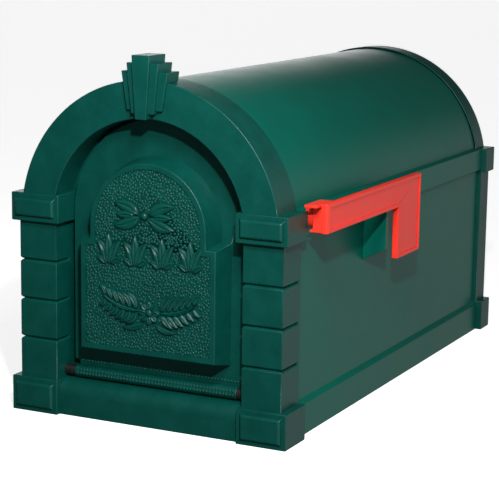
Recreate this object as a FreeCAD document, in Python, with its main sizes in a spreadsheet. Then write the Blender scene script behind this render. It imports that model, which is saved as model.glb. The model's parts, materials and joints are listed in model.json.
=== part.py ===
"""Post-mounted country mailbox: cast frames, extruded sides, rolled vault, drop door and signal flag.

Millimetres, +Z up, door toward -Y, flag on the +X side.  The origin is the middle of the four
mounting holes, on the underside of the floor plate.  Heights in the sheet are measured up from the
foot of the plinths and depths back from the front of the caps.
"""
import FreeCAD, Part
import math
import os
import Sketcher

SIZES = {
    # whole body
    "body_length": 525.5, "side_half": 128.0, "arch_rise": 175.3, "plinth_height": 31.3, "floor_lift": 20.0,
    "frame_depth": 42.0, "rear_depth": 25.5, "cast_wall": 4.0,
    # overlap that joins two pads, and how far a cutter stands clear of the face it cuts
    "join_lap": 1.0, "cutter_clear": 1.0,
    # plinths, columns, caps and sill
    "plinth_proud": 6.5, "plinth_wide": 46.5, "column_wide": 37.5, "column_setback": 7.0,
    "groove_depth": 2.4, "groove_half": 2.1, "groove_reach": 10.0,
    "cap_proud": 5.5, "cap_wide": 48.0, "cap_drop": 3.8, "cap_height": 25.0,
    "panel_raise": 2.4, "panel_margin": 3.8, "panel_bevel": 2.2, "sill_round": 12.0,
    # arch and door stop
    "arch_step": 3.2, "arch_show": 2.0, "arch_setback": 5.0,
    "stop_width": 12.5, "stop_face": 36.4, "stop_thick": 3.6, "stop_lift": 6.7,
    # keystone ribs: half widths, tops over the arch, feet over its inner edge, fronts ahead of its face
    "key_lift": 0.2, "key_back": 23.0, "key_screw_deep": 5.5,
    "rib_a_foot": 5.2, "rib_a_top": 8.6, "rib_a_over": 21.3, "rib_a_under": 0.0, "rib_a_proud": 10.0,
    "rib_b_foot": 10.7, "rib_b_top": 15.2, "rib_b_over": 14.7, "rib_b_under": 4.5, "rib_b_proud": 6.8,
    "rib_c_foot": 16.7, "rib_c_top": 22.0, "rib_c_over": 7.5, "rib_c_under": 7.0, "rib_c_proud": 3.6,
    # side extrusions and vault
    "rail_proud": 4.0, "wall_thick": 3.0, "skirt_bevel": 4.0, "rail_lift": 3.0, "rail_slope": 2.0,
    "shelf_wide": 20.0, "ledge_wide": 26.5, "ledge_thick": 8.0, "seat_lift": 4.7,
    "vault_step": 3.3, "sheet_thick": 2.0, "vault_tuck": 8.0, "tuck_lip": 2.4, "tuck_gap": 0.1,
    # floor plate and its mounting holes
    "floor_thick": 3.0, "floor_gap": 0.4, "mount_pitch_x": 101.6, "mount_pitch_y": 304.8,
    "mount_hole": 3.6, "drain_hole": 3.0, "drain_inset": 40.0,
    # screws
    "screw_radius": 2.0, "screw_play": 0.1, "screw_head": 3.8, "screw_head_tall": 2.4, "screw_grip": 7.0,
    "screw_tip": 0.5, "screw_inset": 4.5, "screw_end": 107.75,
    # tie rods that clamp the two castings on the body
    "rod_inset": 12.5, "channel_wall": 2.4, "channel_half": 5.0, "rod_low": 10.0, "rod_lift": 0.2,
    "rod_radius": 2.5, "rod_play": 0.6, "rod_fit": 0.05, "rod_boss": 6.5, "rod_thread": 18.0,
    "rod_tail": 1.5,
    "washer_radius": 5.5, "washer_thick": 1.2, "nut_flats": 8.0, "nut_tall": 6.5,
    # rear panel
    "rear_margin": 16.0, "rear_lap": 7.0, "rear_flange": 4.0, "rear_lift": 2.7, "rear_thick": 2.5,
    "rear_step": 1.4,
    "panel_gap": 0.3, "notch_gap": 0.4, "rivet_rise": 18.0, "rivet_radius": 2.0, "rivet_head": 4.0,
    "rivet_dome": 1.4, "rivet_tail": 0.8,
    # door
    "door_gap": 5.5, "crown_gap": 1.8, "door_face": 28.0, "door_thick": 4.0, "door_lift": 1.9,
    "notch_wide": 5.0, "notch_rise": 9.0,
    "plaque_inset": 19.5, "plaque_lift": 32.7, "plaque_face": 6.5, "plaque_flare": 12.0, "plaque_wall": 3.6,
    "shoulder_drop": 14.3, "shoulder_wide": 9.5, "crown_drop": 1.3, "field_border": 4.8, "field_depth": 1.2,
    # door hinge
    "pivot_depth": 24.0, "pivot_lift": 6.2, "barrel_radius": 5.5, "bush_long": 10.0,
    "pin_radius": 2.5, "pin_reach": 8.0, "pin_boss": 7.5, "pin_boss_long": 14.0, "pin_floor": 2.0,
    "pin_fit": 0.02, "bush_wall": 1.5, "bush_play": 0.05, "end_play": 0.3, "spacer_wall": 1.0,
    # door catch and bumpers
    "strike_half": 12.0, "strike_drop": 15.3, "strike_tall": 11.0, "strike_thick": 1.0, "strike_inset": 3.5,
    "strike_shank": 1.5, "strike_skin": 1.0,
    "catch_gap": 0.6, "catch_half": 16.0, "catch_deep": 13.0, "catch_ear": 7.5, "catch_ear_thick": 3.0,
    "catch_lip": 2.0, "catch_clear": 1.0, "ear_screw_x": 5.0, "ear_screw_z": 3.6, "ear_head": 3.4,
    "magnet_half": 10.0, "magnet_tall": 7.0, "magnet_deep": 5.0,
    "bumper_radius": 4.0, "bumper_inset": 4.5, "bumper_gap": 0.1,
    # signal flag
    "flag_stand": 24.0, "flag_thick": 6.0, "flag_front": 40.0, "flag_back": 255.0, "flag_lift": 4.0,
    "flag_tall": 25.0, "pennant_wide": 55.0, "pennant_drop": 47.5, "flag_rim": 3.4, "flag_rim_deep": 1.0,
    "hub_stand": 6.5, "hub_inner": 9.3, "hub_set": 2.2, "hub_back": 62.0, "hub_ear": 9.4, "hub_flange": 2.6,
    "hub_boss": 9.5, "hub_round": 3.0, "hub_field": 3.0,
    "pivot_y": 53.0, "bolt_radius": 3.0, "bolt_play": 0.05, "bolt_reach": 12.0, "bolt_head": 5.0,
    "bolt_head_tall": 3.8, "spring_washer": 1.4, "spring_wide": 0.8, "thrust_washer": 1.0,
    "thrust_radius": 8.0, "bush_block": 10.0, "bush_low": 9.0, "bush_depth": 15.5, "bush_sleeve": 5.0,
    # flag rest
    "rest_place": 184.0, "rest_thick": 6.0, "rest_stand": 18.5, "rest_drop": 48.5, "rest_slant": 12.0,
    "rest_bed": 0.5, "rest_screw_low": 36.5, "rest_screw_high": 14.5,
}

doc = FreeCAD.newDocument("mailbox")
sheet = doc.addObject("Spreadsheet::Sheet", "size")


class Size:
    """A length that knows both its value and the sheet expression it comes from."""

    def __init__(self, text, value):
        self.text = text
        self.value = value

    def joined(self, other, sign, value):
        return Size("(%s %s %s)" % (self.text, sign, other.text), value)

    def __add__(self, other):
        other = as_size(other)
        return self.joined(other, "+", self.value + other.value)

    def __sub__(self, other):
        other = as_size(other)
        return self.joined(other, "-", self.value - other.value)

    def __mul__(self, other):
        other = as_size(other)
        return self.joined(other, "*", self.value * other.value)

    def __truediv__(self, other):
        other = as_size(other)
        return self.joined(other, "/", self.value / other.value)

    def __neg__(self):
        return self * -1.0


def as_size(value):
    """Give a plain number the same form as a sheet size."""
    if isinstance(value, Size):
        return value
    return Size("(%r)" % float(value), float(value))


def root(size):
    """Square root of a size."""
    return Size("sqrt(%s)" % size.text, math.sqrt(size.value))


class Sheet:
    """Attribute access to the sheet's aliases, each as a Size."""

    def __getattr__(self, alias):
        return Size("size.%s" % alias, SIZES[alias])


def fill_sheet():
    """Write every driving size into the sheet, its name beside it."""
    for row, (alias, value) in enumerate(SIZES.items(), start=1):
        sheet.set("A%d" % row, alias)
        sheet.set("B%d" % row, "%r" % value)
        sheet.setAlias("B%d" % row, alias)
    doc.recompute()


S = Sheet()
ZERO = as_size(0.0)
DIAGONAL = math.sqrt(0.5)
TOUCH = 0.01  # two places nearer than this are the same place


def up(height):
    """Height above the feet, turned into Z."""
    return as_size(height) - S.floor_lift


def back(depth):
    """Depth behind the front of the caps, turned into Y."""
    return as_size(depth) - S.body_length / 2.0


# ---------------------------------------------------------------- drawing helpers

def vector(x, y):
    return FreeCAD.Vector(x.value, y.value, 0.0)


class Arc:
    """Marks a round edge between two corners of an outline."""

    def __init__(self, x, y, ccw=True):
        self.x = as_size(x)
        self.y = as_size(y)
        self.ccw = ccw


def draw_outline(sketch, items):
    """Closed outline of corners (x, y), with an Arc between two corners where the edge is round."""
    corners = []
    arcs = []
    for item in items:
        if isinstance(item, Arc):
            arcs[-1] = item
        else:
            corners.append((as_size(item[0]), as_size(item[1])))
            arcs.append(None)
    count = len(corners)
    ends = []
    for index, arc in enumerate(arcs):
        start = corners[index]
        stop = corners[(index + 1) % count]
        if arc is None:
            edge = sketch.addGeometry(Part.LineSegment(vector(*start), vector(*stop)), False)
            ends.append((edge, 1, 2))
            continue
        first, last = (start, stop) if arc.ccw else (stop, start)
        centre = vector(arc.x, arc.y)
        spoke = vector(*first) - centre
        sweep = vector(*last) - centre
        circle = Part.Circle(centre, FreeCAD.Vector(0, 0, 1), spoke.Length)
        begin = math.atan2(spoke.y, spoke.x)
        end = math.atan2(sweep.y, sweep.x)
        edge = sketch.addGeometry(Part.ArcOfCircle(circle, begin, end), False)
        ends.append((edge, 1, 2) if arc.ccw else (edge, 2, 1))
    for index in range(count):
        following = (index + 1) % count
        edge, _, tail = ends[index]
        next_edge, head, _ = ends[following]
        sketch.addConstraint(Sketcher.Constraint("Coincident", edge, tail, next_edge, head))
    for index, (x, y) in enumerate(corners):
        edge, head, _ = ends[index]
        tie_point(sketch, edge, head, x, y)
    for index, arc in enumerate(arcs):
        if arc is None:
            continue
        start = corners[index]
        stop = corners[(index + 1) % count]
        level = abs(start[1].value - stop[1].value) <= abs(start[0].value - stop[0].value)
        edge = ends[index][0]
        if level:
            tie_axis(sketch, "DistanceY", edge, 3, arc.y)
        else:
            tie_axis(sketch, "DistanceX", edge, 3, arc.x)


def tie_axis(sketch, kind, edge, point, size):
    """Hold one coordinate of a sketch point on its expression."""
    index = sketch.addConstraint(Sketcher.Constraint(kind, -1, 1, edge, point, size.value))
    sketch.setExpression("Constraints[%d]" % index, size.text)


def tie_point(sketch, edge, point, x, y):
    tie_axis(sketch, "DistanceX", edge, point, x)
    tie_axis(sketch, "DistanceY", edge, point, y)


def draw_circle(sketch, x, y, radius):
    """Circle about (x, y)."""
    x = as_size(x)
    y = as_size(y)
    radius = as_size(radius)
    circle = Part.Circle(vector(x, y), FreeCAD.Vector(0, 0, 1), radius.value)
    edge = sketch.addGeometry(circle, False)
    tie_point(sketch, edge, 3, x, y)
    index = sketch.addConstraint(Sketcher.Constraint("Radius", edge, radius.value))
    sketch.setExpression("Constraints[%d]" % index, radius.text)


def new_body(label):
    """One sub-part as a PartDesign body."""
    body = doc.addObject("PartDesign::Body", label)
    body.Label = label
    return body


def new_sketch(body, plane, shift, loops):
    """Sketch on the body's own origin plane, moved along X, Y or Z to shift.

    A loop is a list of corners and arcs, or a tuple (x, y, radius) for a circle.
    """
    sketch = body.newObject("Sketcher::SketchObject", body.Label + "_sketch")
    for feature in body.Origin.OriginFeatures:
        if feature.Role == plane + "_Plane":
            sketch.AttachmentSupport = (feature, "")
    sketch.MapMode = "FlatFace"
    offset = -as_size(shift) if plane == "XZ" else as_size(shift)
    sketch.setExpression("AttachmentOffset.Base.z", offset.text)
    for loop in loops:
        if isinstance(loop, tuple):
            draw_circle(sketch, *loop)
        else:
            draw_outline(sketch, loop)
    return sketch


def pad(body, plane, loops, low, high, taper=None):
    """Add the outline between two levels along the plane's normal axis."""
    start = high if plane == "XZ" else low
    sketch = new_sketch(body, plane, start, loops)
    feature = body.newObject("PartDesign::Pad", body.Label + "_pad")
    feature.Profile = sketch
    feature.setExpression("Length", (as_size(high) - low).text)
    if taper is not None:
        feature.setExpression("TaperAngle", taper.text)
    sketch.Visibility = False
    return feature


def pocket(body, plane, loops, low, high):
    """Cut the outline between two levels along the plane's normal axis."""
    start = low if plane == "XZ" else high
    sketch = new_sketch(body, plane, start, loops)
    feature = body.newObject("PartDesign::Pocket", body.Label + "_pocket")
    feature.Profile = sketch
    feature.setExpression("Length", (as_size(high) - low).text)
    sketch.Visibility = False
    return feature


def dress(body, kind, size, wanted):
    """Fillet or chamfer the edges that the test picks, by a size from the sheet."""
    doc.recompute()
    base = body.Tip
    names = []
    for index, edge in enumerate(base.Shape.Edges, start=1):
        if wanted(edge):
            names.append("Edge%d" % index)
    if not names:
        raise RuntimeError("no edges to dress on %s" % body.Label)
    feature = body.newObject("PartDesign::" + kind, body.Label + "_" + kind.lower())
    feature.Base = (base, names)
    feature.setExpression("Radius" if kind == "Fillet" else "Size", size.text)
    return feature


def rectangle(left, right, low, high):
    """Corners of an upright rectangle."""
    return [(left, low), (right, low), (right, high), (left, high)]


def span(side, near, far):
    """The pair (left, right) of a range given outward from the middle on one side."""
    near = as_size(near) * side
    far = as_size(far) * side
    return (near, far) if side > 0 else (far, near)


def place(feature, x, y, z):
    """Bind a placement to the sheet."""
    feature.setExpression("Placement.Base.x", as_size(x).text)
    feature.setExpression("Placement.Base.y", as_size(y).text)
    feature.setExpression("Placement.Base.z", as_size(z).text)


TURNS = {
    "Z": FreeCAD.Rotation(),
    "X": FreeCAD.Rotation(FreeCAD.Vector(0, 1, 0), 90),
    "Y": FreeCAD.Rotation(FreeCAD.Vector(1, 0, 0), -90),
}


def cylinder(label, radius, height, axis, x, y, z):
    """Cylinder that grows along +axis from the point given."""
    feature = doc.addObject("Part::Cylinder", label)
    feature.Label = label
    feature.Placement = FreeCAD.Placement(FreeCAD.Vector(), TURNS[axis])
    feature.setExpression("Radius", as_size(radius).text)
    feature.setExpression("Height", as_size(height).text)
    place(feature, x, y, z)
    return feature


def box(label, left, right, front, rear, low, high):
    """Box between six levels."""
    feature = doc.addObject("Part::Box", label)
    feature.Label = label
    feature.setExpression("Length", (as_size(right) - left).text)
    feature.setExpression("Width", (as_size(rear) - front).text)
    feature.setExpression("Height", (as_size(high) - low).text)
    place(feature, left, front, low)
    return feature


def fused(label, pieces):
    feature = doc.addObject("Part::MultiFuse", label)
    feature.Label = label
    feature.Shapes = pieces
    feature.Refine = True
    return feature


def cut(label, base, tool):
    feature = doc.addObject("Part::Cut", label)
    feature.Label = label
    feature.Base = base
    feature.Tool = tool
    feature.Refine = True
    return feature


# ---------------------------------------------------------------- shared places

# widths, from the half width over the columns
WALL_HALF = S.side_half - S.rail_proud
WALL_INNER = WALL_HALF - S.wall_thick
CAP_HALF = S.side_half + S.cap_proud
CAP_INNER = CAP_HALF - S.cap_wide
PLINTH_HALF = S.side_half + S.plinth_proud
PLINTH_INNER = PLINTH_HALF - S.plinth_wide
COLUMN_INNER = S.side_half - S.column_wide
ARCH_OUTER = S.side_half - S.arch_step
ARCH_INNER = COLUMN_INNER + S.arch_show
STOP_INNER = ARCH_INNER - S.stop_width
VAULT_RADIUS = ARCH_OUTER - S.vault_step
SHEET_INNER = VAULT_RADIUS - S.sheet_thick
SHELF_INNER = S.side_half - S.shelf_wide
LEDGE_INNER = S.side_half - S.ledge_wide
ROD_X = S.side_half - S.rod_inset
CHANNEL_RADIUS = S.rod_radius + S.rod_play
CHANNEL_INNER = ROD_X - CHANNEL_RADIUS - S.channel_wall
REAR_OUTER = ARCH_OUTER - S.rear_step
FLOOR_SCREW_X = LEDGE_INNER + S.screw_inset
DOOR_HALF = COLUMN_INNER - S.door_gap
BARREL_HALF = DOOR_HALF - S.notch_wide
PLAQUE_HALF = DOOR_HALF - S.plaque_inset
CROWN_RADIUS = PLAQUE_HALF - S.shoulder_wide
FLAG_FACE = S.side_half + S.flag_stand
FLAG_INNER = FLAG_FACE - S.flag_thick
HUB_WALL = S.side_half + S.hub_stand
BUSH_FACE = S.side_half - S.bush_depth
REST_REACH = S.side_half + S.rest_stand

# heights above the feet, from the arch centre and the plinth
CAP_BASE = S.arch_rise - S.cap_drop
RAIL_BASE = CAP_BASE + S.rail_lift
RAIL_TOP = CAP_BASE + S.cap_height
SEAT = S.arch_rise + S.seat_lift
DOOR_RISE = S.arch_rise + ARCH_INNER - S.crown_gap - DOOR_HALF
STRIKE_FOOT = S.arch_rise + STOP_INNER - S.strike_drop
FLAG_FOOT = RAIL_BASE + S.flag_lift
REAR_FOOT = S.plinth_height + S.rear_lift

# places
FRONT = back(ZERO)
BLOCK_FRONT = FRONT + S.panel_raise
FRAME_BACK = back(S.frame_depth)
REAR = S.body_length / 2.0
REAR_FACE = REAR - S.rear_depth
ARCH_Z = up(S.arch_rise)
PLINTH_TOP = up(S.plinth_height)
CAP_LOW = up(CAP_BASE)
CAP_TOP = up(RAIL_TOP)
FOOT = up(ZERO)
COLUMN_FRONT = back(S.column_setback)
ARCH_FRONT = back(S.arch_setback)
PIVOT_Y = back(S.pivot_depth)
PIVOT_Z = up(S.plinth_height + S.pivot_lift)
FLAG_Z = up(FLAG_FOOT + S.flag_tall / 2.0)
FLAG_Y = back(S.pivot_y)
BORE_RADIUS = S.pin_radius + S.bush_play
BUSH_RADIUS = BORE_RADIUS + S.bush_wall
ROD_HOLE = S.rod_radius + S.rod_fit
SCREW_HOLE = S.screw_radius + S.screw_play
KEY_MIDDLE = ARCH_Z + (ARCH_OUTER + ARCH_INNER) / 2.0
ROD_SPOTS = [(side, level) for level in ("low", "high") for side in (-1, 1)]


def rod_height(level):
    return up(S.rod_low if level == "low" else S.arch_rise + S.rod_lift)


def half_width(radius, height):
    """Half width of a circle about the arch centre at one height above the feet."""
    rise = as_size(height) - S.arch_rise
    return root(as_size(radius) * radius - rise * rise)


def arched(half, foot, radius, centre, spring=None):
    """Upright sides from foot, closed by an arch of the radius about the centre height."""
    spring = centre if spring is None else spring
    return [(-as_size(half), foot), (half, foot), (half, spring), Arc(0.0, centre), (-as_size(half), spring)]


# ---------------------------------------------------------------- front frame

def add_cap_and_plinth(body, side, front, rear):
    """The blocks that stand proud at the top and the foot of a column."""
    left, right = span(side, CAP_INNER, CAP_HALF)
    pad(body, "XZ", [rectangle(left, right, CAP_LOW, CAP_TOP)], front, rear)
    left, right = span(side, PLINTH_INNER, PLINTH_HALF)
    pad(body, "XZ", [rectangle(left, right, FOOT, PLINTH_TOP)], front, rear)


def raised_panel(body, side, near, far, low, high):
    """Raised field with a bevelled edge on the front of a block."""
    margin = S.panel_margin
    left, right = span(side, near, far)
    outline = rectangle(left + margin, right - margin, low + margin, high - margin)
    pad(body, "XZ", [outline], FRONT, BLOCK_FRONT)


def make_front_frame():
    """Arch, columns, caps, plinths and sill in one hollow-backed casting, with the door stop."""
    body = new_body("front_frame")
    pad(body, "XZ", [rectangle(-S.side_half, S.side_half, FOOT, PLINTH_TOP)], COLUMN_FRONT, FRAME_BACK)
    dress(body, "Fillet", S.sill_round, sill_top_edge())
    for side in (-1, 1):
        left, right = span(side, COLUMN_INNER, S.side_half)
        column = rectangle(left, right, PLINTH_TOP - S.join_lap, CAP_LOW + S.join_lap)
        pad(body, "XZ", [column], COLUMN_FRONT, FRAME_BACK)
        add_cap_and_plinth(body, side, BLOCK_FRONT, FRAME_BACK)
        raised_panel(body, side, CAP_INNER, CAP_HALF, CAP_LOW, CAP_TOP)
        raised_panel(body, side, PLINTH_INNER, PLINTH_HALF, FOOT, PLINTH_TOP)
    # arch ring down to the spring line
    pad(body, "XZ", [ring_outline(ARCH_OUTER, ARCH_INNER)], ARCH_FRONT, FRAME_BACK)
    # door stop all round the opening
    root_half = ARCH_INNER + S.join_lap
    stop = [arched(root_half, PLINTH_TOP - S.join_lap, root_half, ARCH_Z),
            arched(STOP_INNER, up(S.plinth_height + S.stop_lift), STOP_INNER, ARCH_Z)]
    pad(body, "XZ", stop, back(S.stop_face), back(S.stop_face + S.stop_thick))
    hollow_front(body)
    for side in (-1, 1):
        cut_grooves(body, side)
        add_bosses(body, side)
    cut_tuck(body, FRAME_BACK - S.vault_tuck, FRAME_BACK)
    pocket(body, "XZ", [(0.0, KEY_MIDDLE, SCREW_HOLE)], ARCH_FRONT, ARCH_FRONT + S.cast_wall)
    dress(body, "Chamfer", S.panel_bevel, panel_edges())
    return body


def sill_top_edge():
    """Test for the front top edge of the sill."""
    def test(edge):
        bounds = edge.BoundBox
        return (max(abs(bounds.YMin - COLUMN_FRONT.value), abs(bounds.YMax - COLUMN_FRONT.value)) < TOUCH
                and max(abs(bounds.ZMin - PLINTH_TOP.value), abs(bounds.ZMax - PLINTH_TOP.value)) < TOUCH)
    return test


def panel_edges():
    """Test for the outline edges of the raised fields."""
    def test(edge):
        bounds = edge.BoundBox
        return max(abs(bounds.YMin - FRONT.value), abs(bounds.YMax - FRONT.value)) < TOUCH
    return test


def ring_outline(outer, inner):
    """Half ring about the arch centre."""
    outer = as_size(outer)
    inner = as_size(inner)
    return [(outer, ARCH_Z), Arc(0.0, ARCH_Z), (-outer, ARCH_Z), (-inner, ARCH_Z),
            Arc(0.0, ARCH_Z, False), (inner, ARCH_Z)]


def hollow_front(body):
    """Open the back of the ring, the columns and the sill, leaving the casting's walls."""
    wall = S.cast_wall
    outer = SHEET_INNER - S.tuck_gap - S.tuck_lip
    pocket(body, "XZ", [ring_outline(outer, ARCH_INNER + wall)], ARCH_FRONT + wall, FRAME_BACK)
    for side in (-1, 1):
        left, right = span(side, ARCH_INNER + wall, outer)
        column = rectangle(left, right, PLINTH_TOP + wall, ARCH_Z)
        pocket(body, "XZ", [column], COLUMN_FRONT + wall, FRAME_BACK)
        left, right = span(side, PLINTH_INNER + wall, PLINTH_HALF - wall)
        foot = rectangle(left, right, FOOT + wall, PLINTH_TOP - wall)
        pocket(body, "XZ", [foot], BLOCK_FRONT + wall, FRAME_BACK)
    bend_y = COLUMN_FRONT + S.sill_round
    bend_z = PLINTH_TOP - S.sill_round
    hollow = [(COLUMN_FRONT + wall, FOOT + wall), (FRAME_BACK, FOOT + wall), (FRAME_BACK, PLINTH_TOP - wall),
              (bend_y, PLINTH_TOP - wall), Arc(bend_y, bend_z), (COLUMN_FRONT + wall, bend_z)]
    pocket(body, "YZ", [hollow], -PLINTH_INNER + wall, PLINTH_INNER - wall)


def groove_heights():
    """Three joints that part a column into four equal blocks."""
    tall = CAP_BASE - S.plinth_height
    return [S.plinth_height + tall * step / 4.0 for step in (1, 2, 3)]


def cut_grooves(body, side):
    """V joints round the front, outer and inner faces of a column."""
    depth = S.groove_depth
    half = S.groove_half
    clear = S.cutter_clear
    for height in groove_heights():
        z = up(height)
        front = [(COLUMN_FRONT - clear, z - half), (COLUMN_FRONT + depth, z),
                 (COLUMN_FRONT - clear, z + half)]
        left, right = span(side, COLUMN_INNER - clear, S.side_half + clear)
        pocket(body, "YZ", [front], left, right)
        outer = [((S.side_half + clear) * side, z - half), ((S.side_half - depth) * side, z),
                 ((S.side_half + clear) * side, z + half)]
        inner = [((COLUMN_INNER - clear) * side, z - half), ((COLUMN_INNER + depth) * side, z),
                 ((COLUMN_INNER - clear) * side, z + half)]
        pocket(body, "XZ", [outer], COLUMN_FRONT - clear, back(S.door_face + S.groove_reach))
        pocket(body, "XZ", [inner], COLUMN_FRONT - clear, back(S.door_face))


def add_bosses(body, side):
    """Bosses for the two tie rods and the hinge pin of one side, with their holes."""
    x = ROD_X * side
    for level in ("low", "high"):
        start = BLOCK_FRONT + S.join_lap if level == "low" else COLUMN_FRONT + S.cast_wall + S.join_lap
        pad(body, "XZ", [(x, rod_height(level), S.rod_boss)], start, FRAME_BACK)
        pocket(body, "XZ", [(x, rod_height(level), ROD_HOLE)], FRAME_BACK - S.rod_thread, FRAME_BACK)
    left, right = span(side, COLUMN_INNER, COLUMN_INNER + S.pin_boss_long)
    pad(body, "YZ", [(PIVOT_Y, PIVOT_Z, S.pin_boss)], left, right)
    left, right = span(side, COLUMN_INNER - S.cutter_clear, pin_end())
    pocket(body, "YZ", [(PIVOT_Y, PIVOT_Z, S.pin_radius + S.pin_fit)], left, right)


def pin_end():
    """Where a hinge pin stops in its boss."""
    return COLUMN_INNER + S.pin_boss_long - S.pin_floor


def cut_tuck(body, low, high):
    """Curved slot that takes the end of the vault sheet."""
    level = up(SEAT)
    x_outer = half_width(VAULT_RADIUS + S.tuck_gap, SEAT)
    x_inner = half_width(SHEET_INNER - S.tuck_gap, SEAT)
    slot = [(x_outer, level), Arc(0.0, ARCH_Z), (-x_outer, level), (-x_inner, level),
            Arc(0.0, ARCH_Z, False), (x_inner, level)]
    pocket(body, "XZ", [slot], low, high)


# ---------------------------------------------------------------- keystone

def make_keystone():
    """Fan of five stepped ribs that sits on the crown and laps the face of the arch."""
    body = new_body("keystone")
    for rib in "cba":
        foot = getattr(S, "rib_%s_foot" % rib)
        top = getattr(S, "rib_%s_top" % rib)
        low = ARCH_Z + ARCH_INNER + S.key_lift + getattr(S, "rib_%s_under" % rib)
        high = ARCH_Z + ARCH_OUTER + getattr(S, "rib_%s_over" % rib)
        fan = [(-foot, low), (foot, low), (top, high), (-top, high)]
        pad(body, "XZ", [fan], ARCH_FRONT - getattr(S, "rib_%s_proud" % rib), back(S.key_back))
    pocket(body, "XZ", [(0.0, ARCH_Z, ARCH_OUTER)], ARCH_FRONT, back(S.key_back) + S.cutter_clear)
    pocket(body, "XZ", [(0.0, KEY_MIDDLE, S.screw_radius)], ARCH_FRONT - S.key_screw_deep, ARCH_FRONT)
    return body


def make_keystone_screw():
    """Screw driven forward from inside the hollow ring."""
    grip = S.key_screw_deep - S.screw_tip
    seat = ARCH_FRONT + S.cast_wall
    shank = cylinder("keystone_screw_shank", S.screw_radius, S.cast_wall + grip, "Y", 0.0, ARCH_FRONT - grip,
                     KEY_MIDDLE)
    head = cylinder("keystone_screw_head", S.screw_head, S.screw_head_tall, "Y", 0.0, seat, KEY_MIDDLE)
    return fused("keystone_screw", [shank, head])


# ---------------------------------------------------------------- body shell

def make_side_panel(side):
    """Extruded side: skirt with a bevelled top, flat wall, floor ledge, rod channels and rail."""
    body = new_body("side_panel_right" if side > 0 else "side_panel_left")
    seat = up(SEAT)
    ledge_low = S.floor_thick
    ledge_top = S.floor_thick + S.ledge_thick
    channel_low = rod_height("low") - S.channel_half
    channel_top = rod_height("low") + S.channel_half
    shelf_low = rod_height("high") - S.channel_half
    points = [
        (S.side_half, FOOT), (S.side_half, PLINTH_TOP - S.skirt_bevel), (WALL_HALF, PLINTH_TOP),
        (WALL_HALF, up(RAIL_BASE - S.rail_slope)), (S.side_half, up(RAIL_BASE)), (S.side_half, CAP_TOP),
        (half_width(VAULT_RADIUS, RAIL_TOP), CAP_TOP), "arc", (half_width(VAULT_RADIUS, SEAT), seat),
        (SHELF_INNER, seat), (SHELF_INNER, shelf_low), (WALL_INNER, shelf_low),
        (WALL_INNER, ledge_top), (LEDGE_INNER, ledge_top), (LEDGE_INNER, ledge_low), (WALL_INNER, ledge_low),
        (WALL_INNER, channel_top), (CHANNEL_INNER, channel_top), (CHANNEL_INNER, channel_low),
        (WALL_INNER, channel_low), (WALL_INNER, FOOT),
    ]
    outline = []
    for point in points:
        if point == "arc":
            outline.append(Arc(0.0, ARCH_Z, side < 0))
        else:
            outline.append((point[0] * side, point[1]))
    holes = [(ROD_X * side, rod_height(level), CHANNEL_RADIUS) for level in ("low", "high")]
    pad(body, "XZ", [outline] + holes, FRAME_BACK, REAR_FACE)
    for y in floor_screw_rows():
        pocket(body, "XY", [(FLOOR_SCREW_X * side, y, S.screw_radius)], ledge_low, ledge_low + S.screw_grip)
    if side > 0:
        pocket(body, "YZ", [(FLAG_Y, FLAG_Z, S.bush_sleeve)], BUSH_FACE, S.side_half + S.cutter_clear)
        for height in rest_screw_heights():
            pocket(body, "YZ", [(rest_middle(), up(height), SCREW_HOLE)], WALL_INNER - S.cutter_clear,
                   WALL_HALF + S.cutter_clear)
    return body


def floor_screw_rows():
    """Y of the three floor screws on each side."""
    pitch = S.body_length / 2.0 - S.screw_end
    return [pitch * step for step in (-1, 0, 1)]


def rest_screw_heights():
    """Heights of the two screws that hold the flag rest."""
    return [FLAG_FOOT - S.rest_screw_low, FLAG_FOOT - S.rest_screw_high]


def rest_middle():
    return back(S.rest_place + S.rest_thick / 2.0)


def make_vault():
    """Rolled sheet roof, its edges on the rails and its ends tucked into the castings."""
    body = new_body("vault_sheet")
    level = up(SEAT)
    x_outer = half_width(VAULT_RADIUS, SEAT)
    x_inner = half_width(SHEET_INNER, SEAT)
    outline = [(x_outer, level), Arc(0.0, ARCH_Z), (-x_outer, level), (-x_inner, level),
               Arc(0.0, ARCH_Z, False), (x_inner, level)]
    pad(body, "XZ", [outline], FRAME_BACK - S.vault_tuck, REAR_FACE + S.vault_tuck)
    pocket(body, "YZ", [(FLAG_Y, FLAG_Z, S.bush_sleeve)], SHELF_INNER, S.side_half)
    return body


def make_floor():
    """Floor plate with the four mounting holes, drains and its screw holes."""
    body = new_body("floor_plate")
    half = WALL_INNER - S.floor_gap
    pad(body, "XY", [rectangle(-half, half, FRAME_BACK, REAR_FACE)], 0.0, S.floor_thick)
    holes = []
    for side in (-1, 1):
        for end in (-1, 1):
            holes.append((S.mount_pitch_x / 2.0 * side, S.mount_pitch_y / 2.0 * end, S.mount_hole))
            holes.append(((half - S.drain_inset) * side, (REAR_FACE - S.drain_inset) * end, S.drain_hole))
        for y in floor_screw_rows():
            holes.append((FLOOR_SCREW_X * side, y, SCREW_HOLE))
    pocket(body, "XY", holes, 0.0, S.floor_thick)
    return body


def make_floor_screws():
    """Six screws up through the floor plate into the ledges."""
    made = []
    for side in (-1, 1):
        for step, y in enumerate(floor_screw_rows(), start=1):
            label = "floor_screw_%s_%d" % ("right" if side > 0 else "left", step)
            x = FLOOR_SCREW_X * side
            reach = S.floor_thick + S.screw_grip - S.screw_tip
            shank = cylinder(label + "_shank", S.screw_radius, reach, "Z", x, y, 0.0)
            head = cylinder(label + "_head", S.screw_head, S.screw_head_tall, "Z", x, y, -S.screw_head_tall)
            made.append(fused(label, [shank, head]))
    return made


# ---------------------------------------------------------------- rear frame

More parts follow.
